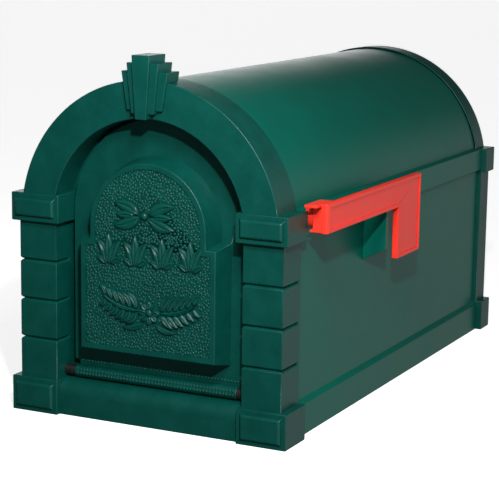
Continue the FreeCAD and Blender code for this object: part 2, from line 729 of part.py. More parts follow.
def make_rear_frame():
    """Plain arch, columns, caps and feet that close the back end."""
    body = new_body("rear_frame")
    pad(body, "XZ", [rectangle(-S.side_half, S.side_half, FOOT, ARCH_Z)], REAR_FACE, REAR)
    pad(body, "XZ", [ring_outline(REAR_OUTER, ARCH_INNER)], REAR_FACE, REAR)
    for side in (-1, 1):
        left, right = span(side, SHELF_INNER, CAP_HALF)
        pad(body, "XZ", [rectangle(left, right, CAP_LOW, CAP_TOP)], REAR_FACE, REAR)
        left, right = span(side, SHELF_INNER, PLINTH_HALF)
        pad(body, "XZ", [rectangle(left, right, FOOT, PLINTH_TOP)], REAR_FACE, REAR)
    opening = ARCH_OUTER - S.rear_margin
    lap = opening + S.rear_lap
    foot = up(REAR_FOOT)
    pocket(body, "XZ", [arched(opening, foot, opening, ARCH_Z)], REAR_FACE, REAR)
    pocket(body, "XZ", [arched(lap, foot - S.rear_lap, lap, ARCH_Z)], REAR_FACE, REAR - S.rear_flange)
    holes = []
    for side, level in ROD_SPOTS:
        spot = (ROD_X * side, rod_height(level))
        if level == "high":
            pad(body, "XZ", [spot + (S.rod_boss,)], REAR_FACE, REAR)
        holes.append(spot + (ROD_HOLE,))
    cut_tuck(body, REAR_FACE, REAR_FACE + S.vault_tuck)
    pocket(body, "XZ", holes, REAR_FACE, REAR)
    pocket(body, "XZ", rivet_holes(), REAR - S.rear_flange, REAR)
    return body


def rivet_spots():
    """Four rivets on the lap between the rear frame and its panel."""
    radius = ARCH_OUTER - S.rear_margin + S.rear_lap / 2.0
    low = up(REAR_FOOT + S.rivet_rise)
    slant = radius * DIAGONAL
    return [(-radius, low), (radius, low), (-slant, ARCH_Z + slant), (slant, ARCH_Z + slant)]


def rivet_holes():
    return [(x, z, S.rivet_radius) for x, z in rivet_spots()]


def make_rear_panel():
    """Flat sheet behind the flange of the rear frame, notched round the rod bosses."""
    body = new_body("rear_panel")
    lap = ARCH_OUTER - S.rear_margin + S.rear_lap - S.panel_gap
    foot = up(REAR_FOOT) - S.rear_lap + S.panel_gap
    rear = REAR - S.rear_flange
    pad(body, "XZ", [arched(lap, foot, lap, ARCH_Z)], rear - S.rear_thick, rear)
    notches = [(ROD_X * side, rod_height("high"), S.rod_boss + S.notch_gap) for side in (-1, 1)]
    pocket(body, "XZ", notches, rear - S.rear_thick, rear)
    pocket(body, "XZ", rivet_holes(), rear - S.rear_thick, rear)
    return body


def make_rivets():
    """Blind rivets through flange and panel."""
    made = []
    rear = REAR - S.rear_flange - S.rear_thick
    for index, (x, z) in enumerate(rivet_spots(), start=1):
        label = "rear_rivet_%d" % index
        shank = cylinder(label + "_shank", S.rivet_radius, S.rear_flange + S.rear_thick, "Y", x, rear, z)
        head = cylinder(label + "_head", S.rivet_head, S.rivet_dome, "Y", x, REAR, z)
        tail = cylinder(label + "_tail", S.rivet_radius + S.rivet_tail, S.rivet_dome, "Y", x,
                        rear - S.rivet_dome, z)
        made.append(fused(label, [shank, head, tail]))
    return made


# ---------------------------------------------------------------- tie rods

def make_tie_rods():
    """Four rods from the front casting through the channels, each with a washer and a nut behind."""
    made = []
    for side, level in ROD_SPOTS:
        end = "%s_%s" % (level, "right" if side > 0 else "left")
        x = ROD_X * side
        z = rod_height(level)
        start = FRAME_BACK - S.rod_thread
        stop = REAR + S.washer_thick + S.nut_tall + S.rod_tail
        made.append(cylinder("tie_rod_" + end, S.rod_radius, stop - start, "Y", x, start, z))
        disc = cylinder("tie_washer_disc_" + end, S.washer_radius, S.washer_thick, "Y", x, REAR, z)
        hole = cylinder("tie_washer_hole_" + end, ROD_HOLE, S.washer_thick, "Y", x, REAR, z)
        made.append(cut("tie_washer_" + end, disc, hole))
        made.append(make_nut("tie_nut_" + end, x, REAR + S.washer_thick, z))
    return made


def make_nut(label, x, y, z):
    """Hexagon nut along Y."""
    body = new_body(label)
    flats = S.nut_flats / 2.0
    corner = S.nut_flats / math.sqrt(3.0)
    outline = [(x + corner, z), (x + corner / 2.0, z + flats), (x - corner / 2.0, z + flats),
               (x - corner, z), (x - corner / 2.0, z - flats), (x + corner / 2.0, z - flats)]
    pad(body, "XZ", [outline, (x, z, ROD_HOLE)], y, y + S.nut_tall)
    return body


# ---------------------------------------------------------------- door

def plaque_outline(inset):
    """Plaque outline, drawn in by inset: square foot, two shoulders and a round crown."""
    half = PLAQUE_HALF - inset
    crown = CROWN_RADIUS - inset
    foot = PLINTH_TOP + S.plaque_lift + inset
    shoulder = ARCH_Z - S.shoulder_drop - inset
    centre = ARCH_Z - S.crown_drop
    return [(-half, foot), (half, foot), (half, shoulder), (crown, shoulder), (crown, centre),
            Arc(0.0, centre), (-crown, centre), (-crown, shoulder), (-half, shoulder)]


def make_door():
    """Cast door: plate with notched corners, hollow plaque, sunk field and hinge barrel."""
    body = new_body("door")
    face = back(S.door_face)
    rear = face + S.door_thick
    foot = PLINTH_TOP + S.door_lift
    notch = PIVOT_Z + S.notch_rise
    spring = up(DOOR_RISE)
    plate = [(-BARREL_HALF, foot), (BARREL_HALF, foot), (BARREL_HALF, notch), (DOOR_HALF, notch),
             (DOOR_HALF, spring), Arc(0.0, spring), (-DOOR_HALF, spring), (-DOOR_HALF, notch),
             (-BARREL_HALF, notch)]
    pad(body, "XZ", [plate], face, rear)
    pad(body, "YZ", [(PIVOT_Y, PIVOT_Z, S.barrel_radius)], -BARREL_HALF, BARREL_HALF)
    front = back(S.plaque_face)
    sunk = front + S.field_depth
    flare = (face - front) * math.tan(math.radians(S.plaque_flare.value))
    pad(body, "XZ", [plaque_outline(-flare)], front, face, taper=-S.plaque_flare)
    pocket(body, "XZ", [plaque_outline(S.plaque_wall)], sunk + S.plaque_wall, rear)
    pocket(body, "XZ", [plaque_outline(S.field_border)], front, sunk)
    for side in (-1, 1):
        left, right = span(side, BARREL_HALF - S.bush_long, BARREL_HALF)
        pocket(body, "YZ", [(PIVOT_Y, PIVOT_Z, BUSH_RADIUS)], left, right)
    rivets = [(x, z, S.rivet_radius) for x, z in strike_rivet_spots()]
    pocket(body, "XZ", rivets, face + S.strike_skin, rear)
    return body


def make_hinge_parts(side):
    """Drive pin in the column and the flanged bush in the end of the door's barrel."""
    name = "right" if side > 0 else "left"
    start = BARREL_HALF - S.pin_reach
    left, _ = span(side, start, pin_end())
    pin = cylinder("hinge_pin_" + name, S.pin_radius, pin_end() - start, "X", left, PIVOT_Y, PIVOT_Z)
    body = new_body("hinge_bush_" + name)
    hole = (PIVOT_Y, PIVOT_Z, BORE_RADIUS)
    left, right = span(side, BARREL_HALF - S.bush_long, BARREL_HALF)
    pad(body, "YZ", [(PIVOT_Y, PIVOT_Z, BUSH_RADIUS), hole], left, right)
    left, right = span(side, BARREL_HALF, COLUMN_INNER - S.end_play)
    pad(body, "YZ", [(PIVOT_Y, PIVOT_Z, BUSH_RADIUS + S.spacer_wall), hole], left, right)
    return [pin, body]


# ---------------------------------------------------------------- catch and bumpers

def strike_rivet_spots():
    """Two rivets through the strike plate."""
    z = up(STRIKE_FOOT + S.strike_tall / 2.0)
    x = S.strike_half - S.strike_inset
    return [(-x, z), (x, z)]


def make_strike():
    """Steel strike plate behind the door's crown, and its two rivets."""
    door_rear = back(S.door_face + S.door_thick)
    low = up(STRIKE_FOOT)
    strike = new_body("strike_plate")
    holes = [(x, z, S.strike_shank) for x, z in strike_rivet_spots()]
    outline = rectangle(-S.strike_half, S.strike_half, low, low + S.strike_tall)
    pad(strike, "XZ", [outline] + holes, door_rear, door_rear + S.strike_thick)
    made = [strike]
    for index, (x, z) in enumerate(strike_rivet_spots(), start=1):
        label = "strike_rivet_%d" % index
        deep = S.door_thick - S.strike_skin
        tail = cylinder(label + "_tail", S.rivet_radius, deep, "Y", x, door_rear - deep, z)
        head = cylinder(label + "_head", S.strike_shank, S.strike_thick, "Y", x, door_rear, z)
        made.append(fused(label, [tail, head]))
    return made


def make_catch():
    """Magnet in a housing behind the crown of the stop, held by two screws."""
    face = back(S.door_face + S.door_thick + S.strike_thick + S.catch_gap)
    low = up(STRIKE_FOOT)
    middle = low + S.strike_tall / 2.0
    housing = new_body("catch_housing")
    crown = ARCH_Z + STOP_INNER - S.catch_clear
    ear_face = back(S.stop_face + S.stop_thick)
    ear_rear = ear_face + S.catch_ear_thick
    shell = rectangle(-S.catch_half, S.catch_half, low - S.catch_lip, crown - S.catch_lip)
    pad(housing, "XZ", [shell], face, face + S.catch_deep)
    ear = rectangle(-S.catch_half, S.catch_half, crown - S.catch_lip - S.join_lap, crown + S.catch_ear)
    pad(housing, "XZ", [ear], ear_face, ear_rear)
    half = S.magnet_tall / 2.0
    magnet = rectangle(-S.magnet_half, S.magnet_half, middle - half, middle + half)
    pocket(housing, "XZ", [magnet], face, face + S.magnet_deep)
    screw_x = S.catch_half - S.ear_screw_x
    screw_z = crown + S.catch_ear - S.ear_screw_z
    holes = [(screw_x * side, screw_z, S.screw_radius) for side in (-1, 1)]
    pocket(housing, "XZ", holes, ear_face, ear_rear)
    made = [housing, box("catch_magnet", -S.magnet_half, S.magnet_half, face, face + S.magnet_deep,
                         middle - half, middle + half)]
    for index, (x, z, radius) in enumerate(holes, start=1):
        label = "catch_screw_%d" % index
        shank = cylinder(label + "_shank", radius, S.catch_ear_thick, "Y", x, ear_face, z)
        head = cylinder(label + "_head", S.ear_head, S.screw_head_tall, "Y", x, ear_rear, z)
        made.append(fused(label, [shank, head]))
    return made


def make_bumpers():
    """Two rubber buttons on the stop that the shut door rests on."""
    made = []
    place = (STOP_INNER + S.bumper_inset) * DIAGONAL
    front = back(S.door_face + S.door_thick) + S.bumper_gap
    for side in (-1, 1):
        label = "door_bumper_%s" % ("right" if side > 0 else "left")
        made.append(cylinder(label, S.bumper_radius, back(S.stop_face) - front, "Y", place * side, front,
                             ARCH_Z + place))
    return made


# ---------------------------------------------------------------- flag

def make_flag():
    """L-shaped flag with a raised rim and a hub that stands it off the rail."""
    body = new_body("flag")
    low = up(FLAG_FOOT)
    high = up(FLAG_FOOT + S.flag_tall)
    foot = up(FLAG_FOOT - S.pennant_drop)
    front = back(S.flag_front)
    rear = back(S.flag_back)
    inner_edge = rear - S.pennant_wide
    shape = [(front, low), (inner_edge, low), (inner_edge, foot), (rear, foot), (rear, high), (front, high)]
    pad(body, "YZ", [shape], FLAG_INNER, FLAG_FACE)
    rim = S.flag_rim
    start = front + rim + S.hub_field
    field = [(start, low + rim), (inner_edge + rim, low + rim), (inner_edge + rim, foot + rim),
             (rear - rim, foot + rim), (rear - rim, high - rim), (start, high - rim)]
    pocket(body, "YZ", [field], FLAG_FACE - S.flag_rim_deep, FLAG_FACE)
    hub_front = front + S.hub_set
    hub_rear = back(S.hub_back)
    pad(body, "YZ", [rectangle(hub_front, hub_rear, low, high)], S.side_half + S.hub_inner, FLAG_INNER)
    for nose, level in ((hub_front, low), (front - S.hub_ear, high - S.hub_flange)):
        pad(body, "XY", [rectangle(HUB_WALL, FLAG_INNER, nose, hub_rear)], level, level + S.hub_flange)
    boss_face = S.side_half + S.thrust_washer
    pad(body, "YZ", [(FLAG_Y, FLAG_Z, S.hub_boss)], boss_face, S.side_half + S.hub_inner)
    pocket(body, "YZ", [(FLAG_Y, FLAG_Z, S.bolt_radius + S.pin_fit)], boss_face, HUB_WALL + S.bolt_reach)
    dress(body, "Fillet", S.hub_round, front_outer_edge(front))
    return body


def front_outer_edge(front):
    """Test for the upright outer edge at the front end of the arm."""
    def test(edge):
        bounds = edge.BoundBox
        return (max(bounds.XLength, bounds.YLength, abs(bounds.XMin - FLAG_FACE.value)) < TOUCH
                and abs(bounds.YMin - front.value) < TOUCH)
    return test


def make_flag_bush():
    """Bush that fills the corner under the vault behind the rail, with a sleeve through the rail."""
    bush = new_body("flag_bush")
    front = FLAG_Y - S.bush_block
    rear = FLAG_Y + S.bush_block
    block = rectangle(front, rear, FLAG_Z - S.bush_low, FLAG_Z + S.bush_block)
    pad(bush, "YZ", [block], BUSH_FACE, VAULT_RADIUS)
    low = FLAG_Z - S.bush_low - S.cutter_clear
    high = FLAG_Z + S.bush_block + S.cutter_clear
    far = S.side_half + S.cutter_clear
    slab = [(half_width(SHEET_INNER, low + S.floor_lift), low), (far, low), (far, high),
            (half_width(SHEET_INNER, high + S.floor_lift), high), Arc(0.0, ARCH_Z, False)]
    pocket(bush, "XZ", [slab], front - S.cutter_clear, rear + S.cutter_clear)
    pad(bush, "YZ", [(FLAG_Y, FLAG_Z, S.bush_sleeve)], BUSH_FACE, S.side_half)
    pocket(bush, "YZ", [(FLAG_Y, FLAG_Z, S.bolt_radius + S.bolt_play)], BUSH_FACE, S.side_half)
    return bush


def ring(label, radius, thick, x):
    """Flat washer on the flag's bolt."""
    disc = cylinder(label + "_disc", radius, thick, "X", x, FLAG_Y, FLAG_Z)
    hole = cylinder(label + "_hole", S.bolt_radius + S.bolt_play, thick, "X", x, FLAG_Y, FLAG_Z)
    return cut(label, disc, hole)


def make_flag_parts():
    """Pivot bolt, its spring washer inside and the thrust washer outside."""
    washer_face = BUSH_FACE - S.spring_washer
    shank = cylinder("flag_bolt_shank", S.bolt_radius, HUB_WALL + S.bolt_reach - washer_face, "X",
                     washer_face, FLAG_Y, FLAG_Z)
    head = cylinder("flag_bolt_head", S.bolt_head, S.bolt_head_tall, "X", washer_face - S.bolt_head_tall,
                    FLAG_Y, FLAG_Z)
    bolt = fused("flag_bolt", [shank, head])
    spring = ring("flag_spring_washer", S.bolt_head + S.spring_wide, S.spring_washer, washer_face)
    thrust = ring("flag_thrust_washer", S.thrust_radius, S.thrust_washer, S.side_half)
    return [bolt, spring, thrust]


def make_flag_rest():
    """Fin on the side wall that the lowered arm lies on, held by two screws from inside."""
    body = new_body("flag_rest")
    top = up(FLAG_FOOT)
    foot = up(FLAG_FOOT - S.rest_drop)
    front = back(S.rest_place)
    bed = S.side_half + S.rest_bed
    rail_low = up(RAIL_BASE - S.rail_slope) - S.rest_bed
    fin = [(WALL_HALF, foot), (REST_REACH, foot + S.rest_slant), (REST_REACH, top), (bed, top),
           (bed, rail_low), (WALL_HALF, rail_low)]
    pad(body, "XZ", [fin], front, front + S.rest_thick)
    made = [body]
    for index, height in enumerate(rest_screw_heights(), start=1):
        y = rest_middle()
        z = up(height)
        pocket(body, "YZ", [(y, z, S.screw_radius)], WALL_HALF, WALL_HALF + S.screw_grip)
        label = "rest_screw_%d" % index
        reach = S.wall_thick + S.screw_grip - S.screw_tip
        shank = cylinder(label + "_shank", S.screw_radius, reach, "X", WALL_INNER, y, z)
        head = cylinder(label + "_head", S.screw_head, S.screw_head_tall, "X",
                        WALL_INNER - S.screw_head_tall, y, z)
        made.append(fused(label, [shank, head]))
    return made


# ---------------------------------------------------------------- build and write

def build():
    """Make every sub-part and return the list."""
    made = [make_front_frame(), make_keystone(), make_keystone_screw()]
    made += [make_side_panel(-1), make_side_panel(1), make_vault(), make_floor()]
    made += make_floor_screws()
    made += [make_rear_frame(), make_rear_panel()]
    made += make_rivets()
    made += make_tie_rods()
    made.append(make_door())
    made += make_hinge_parts(-1)
    made += make_hinge_parts(1)
    made += make_strike()
    made += make_catch()
    made += make_bumpers()
    made += [make_flag(), make_flag_bush()]
    made += make_flag_parts()
    made += make_flag_rest()
    return made


def check(made):
    """Refuse to write anything while a feature has failed or a sub-part isn't one valid solid."""
    for feature in doc.Objects:
        if "Invalid" in feature.State or "Error" in feature.State:
            raise RuntimeError("failed feature: " + feature.Name)
        if feature.TypeId == "PartDesign::Pocket":
            if feature.Shape.Volume >= feature.BaseFeature.Shape.Volume - 1e-6:
                raise RuntimeError("a pocket cut nothing: " + feature.Name)
    for part in made:
        shape = part.Shape
        if shape.isNull() or not shape.isValid() or len(shape.Solids) != 1:
            raise RuntimeError("bad shape: %s (%d solids)" % (part.Label, len(shape.Solids)))


fill_sheet()
PARTS = build()
doc.recompute()
check(PARTS)
os.makedirs("parts", exist_ok=True)
for part in PARTS:
    part.Shape.exportStep("parts/%s.step" % part.Label)
print("%d sub-parts" % len(PARTS))
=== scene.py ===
"""Looks of the cast country mailbox: powder coated castings, stippled plaque, red flag and a plain stage."""
import json
import math

import bmesh
import bpy
from mathutils import Matrix, Vector
from mathutils.bvhtree import BVHTree
from mathutils.geometry import barycentric_transform


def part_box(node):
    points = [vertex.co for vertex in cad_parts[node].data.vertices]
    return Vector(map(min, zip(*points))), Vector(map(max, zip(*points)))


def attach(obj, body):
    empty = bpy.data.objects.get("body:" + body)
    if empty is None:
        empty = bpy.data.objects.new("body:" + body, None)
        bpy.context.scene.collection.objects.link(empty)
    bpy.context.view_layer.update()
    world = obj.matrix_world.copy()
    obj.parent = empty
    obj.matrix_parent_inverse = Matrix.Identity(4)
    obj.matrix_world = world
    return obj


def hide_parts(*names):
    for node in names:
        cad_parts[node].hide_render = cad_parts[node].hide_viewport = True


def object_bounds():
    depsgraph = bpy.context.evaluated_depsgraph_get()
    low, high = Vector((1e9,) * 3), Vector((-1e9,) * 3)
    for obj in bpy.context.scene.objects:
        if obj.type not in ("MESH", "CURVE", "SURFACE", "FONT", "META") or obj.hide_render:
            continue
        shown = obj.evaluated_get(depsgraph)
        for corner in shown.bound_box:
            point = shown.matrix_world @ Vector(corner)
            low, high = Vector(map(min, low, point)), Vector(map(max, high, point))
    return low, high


bl_info = {
    "name": "Cast Mailbox Looks",
    "version": (1, 0, 0),
    "blender": (4, 5, 0),
    "location": "View3D > Sidebar > Mailbox",
    "description": "Builds the finishes, cast detail, fasteners and stage of a post-mounted mailbox",
    "category": "Object",
}

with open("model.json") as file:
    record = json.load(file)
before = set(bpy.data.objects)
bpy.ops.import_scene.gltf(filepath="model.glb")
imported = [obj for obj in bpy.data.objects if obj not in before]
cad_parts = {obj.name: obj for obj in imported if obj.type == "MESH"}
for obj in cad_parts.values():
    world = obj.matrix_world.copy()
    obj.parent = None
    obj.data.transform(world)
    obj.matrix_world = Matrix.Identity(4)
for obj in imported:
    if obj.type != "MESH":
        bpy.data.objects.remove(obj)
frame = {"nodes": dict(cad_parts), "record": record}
CAD_BOX = [list(corner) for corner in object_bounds()]
NODES = frame["nodes"]
MM = 0.001


def linear(code):
    """Linear colour of an sRGB hex code."""
    parts = [int(code[place:place + 2], 16) / 255.0 for place in (1, 3, 5)]
    return [part / 12.92 if part <= 0.04045 else ((part + 0.055) / 1.055) ** 2.4 for part in parts]


def length(name, description, millimetres):
    """Property for a length, given in millimetres and kept in metres."""
    return bpy.props.FloatProperty(name=name, description=description, subtype="DISTANCE", unit="LENGTH",
                                   default=millimetres * MM, min=0.0, precision=5)


def colour(name, description, code):
    """Property for a colour, given as sRGB hex and kept linear."""
    return bpy.props.FloatVectorProperty(name=name, description=description, subtype="COLOR", size=3,
                                         min=0.0, max=1.0, default=linear(code))


# ---------------------------------------------------------------- sizes and colours

class FinishSizes(bpy.types.PropertyGroup):
    """Colours and grain of the finishes."""

    green: colour("Casting green", "Powder coat on the castings", "#02463E")
    # Painted light: the sheets' green is the castings' coat painted lighter, standing in for light on the
    # side walls and roof.
    green_sheet: colour("Sheet green", "Powder coat on the sheets and extrusions", "#005D4F")
    red: colour("Flag red", "Enamel on the flag", "#FF3A2B")
    cast_grain: length("Cast grain", "Width of a pebble in the castings' coat", 1.9)
    cast_depth: length("Cast grain depth", "Height of the pebbles", 0.14)
    peel_grain: length("Orange peel", "Width of a ripple in the sheets' coat", 2.8)
    peel_depth: length("Orange peel depth", "Height of the ripples", 0.022)


class EdgeSizes(bpy.types.PropertyGroup):
    """Rounding of the castings' and sheets' edges."""

    casting: length("Casting edge", "Radius of the castings' edges", 0.9)
    fine: length("Fine edge", "Radius of edges on the keystone and the flag", 0.7)
    sheet: length("Sheet edge", "Radius of the sheets' and extrusions' edges", 0.5)


class PlaqueSizes(bpy.types.PropertyGroup):
    """Sunk field of the door's plaque and what stands on it."""

    half_width: length("Half width", "Half width of the field", 60.7)
    crown_radius: length("Crown radius", "Radius of the field's round top", 51.2)
    foot: length("Foot", "Height of the field's lower edge", 48.8)
    shoulder: length("Shoulder", "Height of the field's shoulders", 136.2)
    centre: length("Crown centre", "Height of the centre of the round top", 154.0)
    sunk: length("Sunk depth", "Depth of the field behind the plaque's rim", 1.2)
    pitch: length("Grain pitch", "Least distance between two grains of the stipple", 2.1)
    grain_radius: length("Grain radius", "Radius of a grain", 1.55)
    grain_height: length("Grain height", "Height of a grain", 0.62)
    margin: length("Margin", "Bare ring round the relief", 1.0)
    relief: length("Relief", "Height of the leaf relief", 2.9)
    seed: bpy.props.IntProperty(name="Seed", description="Start of the stipple's random order", default=7)


class BeadSizes(bpy.types.PropertyGroup):
    """Three rows of beads along the foot of the door."""

    pitch: length("Pitch", "Distance between two beads", 3.1)
    half_length: length("Half length", "Half length of a row", 77.0)
    bead_radius: length("Bead radius", "Radius of a bead", 1.35)
    bead_height: length("Bead height", "Height of a bead", 0.5)
    plate_height: length("Upper row", "Height of the row on the door's plate", 26.0)
    barrel_height: length("Middle row", "Height of the upper row on the hinge barrel", 19.8)
    foot_height: length("Lower row", "Height of the lower row on the hinge barrel", 16.6)


class FastenerSizes(bpy.types.PropertyGroup):
    """Rivets, nuts and screws."""

    rivet_radius: length("Rivet head", "Radius of a rivet's head", 4.0)
    rivet_dome: length("Rivet dome", "Height of a rivet's head", 1.4)
    nut_flats: length("Nut flats", "Width of a nut across its flats", 8.0)
    nut_bore: length("Nut bore", "Radius of a nut's bore", 2.6)
    nut_height: length("Nut height", "Height of a nut", 6.5)
    head_radius: length("Screw head", "Radius of a screw's head", 3.8)
    head_height: length("Screw head height", "Height of a screw's head", 2.4)
    socket: length("Screw socket", "Half width across the flats of a screw's socket", 1.5)


class StageSizes(bpy.types.PropertyGroup):
    """Camera and light."""

    azimuth: bpy.props.FloatProperty(
        name="Azimuth", description="Camera's turn toward the flag side", subtype="ANGLE",
        default=math.radians(26.18))
    elevation: bpy.props.FloatProperty(
        name="Elevation", description="Camera's height over the horizon", subtype="ANGLE",
        default=math.radians(10.84))
    roll: bpy.props.FloatProperty(
        name="Roll", description="Camera's turn about its own axis", subtype="ANGLE",
        default=math.radians(0.79))
    place: bpy.props.FloatVectorProperty(
        name="Camera place", description="Where the camera stands", subtype="TRANSLATION", unit="LENGTH",
        default=(0.709, -1.501, 0.412))
    lens: bpy.props.FloatProperty(
        name="Lens", description="Focal length in millimetres", default=124.17, min=1.0)
    key_turn: bpy.props.FloatProperty(
        name="Key turn", description="Key light's turn from the front toward the flag side",
        subtype="ANGLE", default=math.radians(35.0))
    key_height: bpy.props.FloatProperty(
        name="Key height", description="Key light's height over the horizon", subtype="ANGLE",
        default=math.radians(30.0))
    key_far: length("Key distance", "Distance of the key light from the middle of the front", 1150.0)
    key_width: length("Key width", "Width of the key light", 55.0)
    key_power: bpy.props.FloatProperty(
        name="Key power", description="Power of the key light", unit="POWER", default=10.5, min=0.0)
    brow_power: bpy.props.FloatProperty(
        name="Brow power", description="Power of the small lamp over the arch", unit="POWER",
        default=1.9, min=0.0)
    brow_place: bpy.props.FloatVectorProperty(
        name="Brow place", description="Where the small lamp stands", subtype="TRANSLATION", unit="LENGTH",
        default=(0.24, -0.54, 0.52))
    brow_width: length("Brow width", "Width of the small lamp", 140.0)
    backdrop: bpy.props.FloatProperty(
        name="Backdrop", description="Brightness of the surroundings behind, away from the flag",
        default=3.2, min=0.0)
    side_glow: bpy.props.FloatProperty(
        name="Side glow", description="Brightness of the low surroundings on the flag side",
        default=0.5, min=0.0)
    fill: bpy.props.FloatProperty(
        name="Fill", description="Brightness of the surroundings everywhere", default=0.06, min=0.0)


# ---------------------------------------------------------------- helpers

def add_node(tree, kind, inputs=None, **settings):
    """Adds one node: settings are its properties, inputs the values or the sockets that feed its own."""
    made = tree.nodes.new(kind)
    for name, value in settings.items():
        setattr(made, name, value)
    for name, value in (inputs or {}).items():
        if isinstance(value, bpy.types.NodeSocket):
            tree.links.new(value, made.inputs[name])
        else:
            made.inputs[name].default_value = value
    return made


def new_piece(name, mesh, material, body):
    """Object at the origin that holds the mesh, with its finish and the body it rides on."""
    piece = bpy.data.objects.new(name, mesh)
    bpy.context.scene.collection.objects.link(piece)
    if material is not None:
        mesh.materials.clear()
        mesh.materials.append(bpy.data.materials[material])
    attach(piece, body)
    return piece


def mesh_of(name, bm):
    """Finished mesh with smooth faces and sharp edges kept."""
    mesh = bpy.data.meshes.new(name)
    bmesh.ops.recalc_face_normals(bm, faces=bm.faces)
    bm.to_mesh(mesh)
    bm.free()
    mesh.shade_smooth()
    mesh.set_sharp_from_angle(angle=math.radians(50.0))
    return mesh


def lathe(name, rings, sides, sharp=30.0):
    """Closed solid about Z from rings of (radius, height) or (flat, height, "hex")."""
    bm = bmesh.new()
    loops = []
    for ring in rings:
        loop = []
        for step in range(sides):
            turn = 2.0 * math.pi * step / sides
            reach = ring[0]
            if len(ring) == 3:
                reach = ring[0] / math.cos((turn % (math.pi / 3.0)) - math.pi / 6.0)
            loop.append(bm.verts.new((reach * math.cos(turn), reach * math.sin(turn), ring[1])))
        loops.append(loop)
    for low, high in zip(loops, loops[1:]):
        for step in range(sides):
            following = (step + 1) % sides
            bm.faces.new((low[step], low[following], high[following], high[step]))
    bm.faces.new(list(reversed(loops[0])))
    bm.faces.new(loops[-1])
    mesh = mesh_of(name, bm)
    mesh.set_sharp_from_angle(angle=math.radians(sharp))
    return mesh


def new_tree(name, inputs):
    """Geometry node tree with its named inputs, and its input node."""
    tree = bpy.data.node_groups.new(name, "GeometryNodeTree")
    tree.interface.new_socket("Geometry", in_out="INPUT", socket_type="NodeSocketGeometry")
    for label, kind in inputs:
        tree.interface.new_socket(label, in_out="INPUT", socket_type=kind)
    tree.interface.new_socket("Geometry", in_out="OUTPUT", socket_type="NodeSocketGeometry")
    return tree, add_node(tree, "NodeGroupInput")


def close_tree(tree, geometry, material):
    """Ends a tree with real faces and their material."""
    real = add_node(tree, "GeometryNodeRealizeInstances", {"Geometry": geometry})
    finish = add_node(tree, "GeometryNodeSetMaterial", {"Geometry": real.outputs["Geometry"],
                                                        "Material": material})
    add_node(tree, "NodeGroupOutput", {"Geometry": finish.outputs["Geometry"]})


def grow(name, seed_mesh, tree, values):
    """Runs a tree on a seed mesh and gives the result as a plain mesh."""
    seed = bpy.data.objects.new(name + "_seed", seed_mesh)
    bpy.context.scene.collection.objects.link(seed)
    modifier = seed.modifiers.new("grow", "NODES")
    modifier.node_group = tree
    for item in tree.interface.items_tree:
        if item.item_type == "SOCKET" and item.in_out == "INPUT" and item.name in values:
            modifier[item.identifier] = values[item.name]
    bpy.context.view_layer.update()
    graph = bpy.context.evaluated_depsgraph_get()
    mesh = bpy.data.meshes.new_from_object(seed.evaluated_get(graph))
    mesh.name = name
    seed.modifiers.clear()
    bpy.data.objects.remove(seed)
    if not len(mesh.polygons):
        raise RuntimeError("nothing grew for " + name)
    return mesh


def pattern_object(name, mesh):
    """Object that a tree copies; removed once the tree has run."""
    made = bpy.data.objects.new(name, mesh)
    bpy.context.scene.collection.objects.link(made)
    return made


def points_mesh(name, points, edges=()):
    """Mesh of bare points, joined by edges where a row follows them."""
    mesh = bpy.data.meshes.new(name)
    mesh.from_pydata([tuple(point) for point in points], list(edges), [])
    return mesh


# ---------------------------------------------------------------- materials

def new_material(name, tint, roughness, metallic=0.0, specular=0.5):
    """Principled material with its plain values set, its tree, its shader and its place socket."""
    made = bpy.data.materials.new(name)
    made.use_nodes = True
    tree = made.node_tree
    tree.nodes.clear()
    shader = add_node(tree, "ShaderNodeBsdfPrincipled", {
        "Base Color": (*tint, 1.0), "Roughness": roughness, "Metallic": metallic,
        "Specular IOR Level": specular})
    add_node(tree, "ShaderNodeOutputMaterial", {"Surface": shader.outputs["BSDF"]})
    place = add_node(tree, "ShaderNodeTexCoord").outputs["Object"]
    return tree, shader, place


def vary(tree, shader, place, tint, width, dark, light, rough_low, rough_high):
    """Slow change of colour and gloss over the surface, in patches of the width."""
    patch = add_node(tree, "ShaderNodeTexNoise", {"Vector": place, "Scale": 1.0 / width, "Detail": 4.0,
                                                  "Roughness": 0.6})
    ramp = add_node(tree, "ShaderNodeValToRGB", {"Fac": patch.outputs["Fac"]})
    ramp.color_ramp.elements[0].position = 0.3
    ramp.color_ramp.elements[1].position = 0.7
    ramp.color_ramp.elements[0].color = (*[part * dark for part in tint], 1.0)
    ramp.color_ramp.elements[1].color = (*[min(1.0, part * light) for part in tint], 1.0)
    tree.links.new(ramp.outputs["Color"], shader.inputs["Base Color"])
    gloss = add_node(tree, "ShaderNodeMapRange", {"Value": patch.outputs["Fac"], "From Min": 0.3,
                                                  "From Max": 0.7, "To Min": rough_low,
                                                  "To Max": rough_high})
    tree.links.new(gloss.outputs["Result"], shader.inputs["Roughness"])


def grain(tree, shader, place, layers):
    """Bump from layers of noise, each (width, depth) in metres, laid one on another."""
    normal = None
    for width, depth in layers:
        noise = add_node(tree, "ShaderNodeTexNoise", {"Vector": place, "Scale": 1.0 / width, "Detail": 2.0,
                                                      "Roughness": 0.5})
        inputs = {"Height": noise.outputs["Fac"], "Distance": depth, "Strength": 1.0}
        if normal is not None:
            inputs["Normal"] = normal
        normal = add_node(tree, "ShaderNodeBump", inputs).outputs["Normal"]
    tree.links.new(normal, shader.inputs["Normal"])


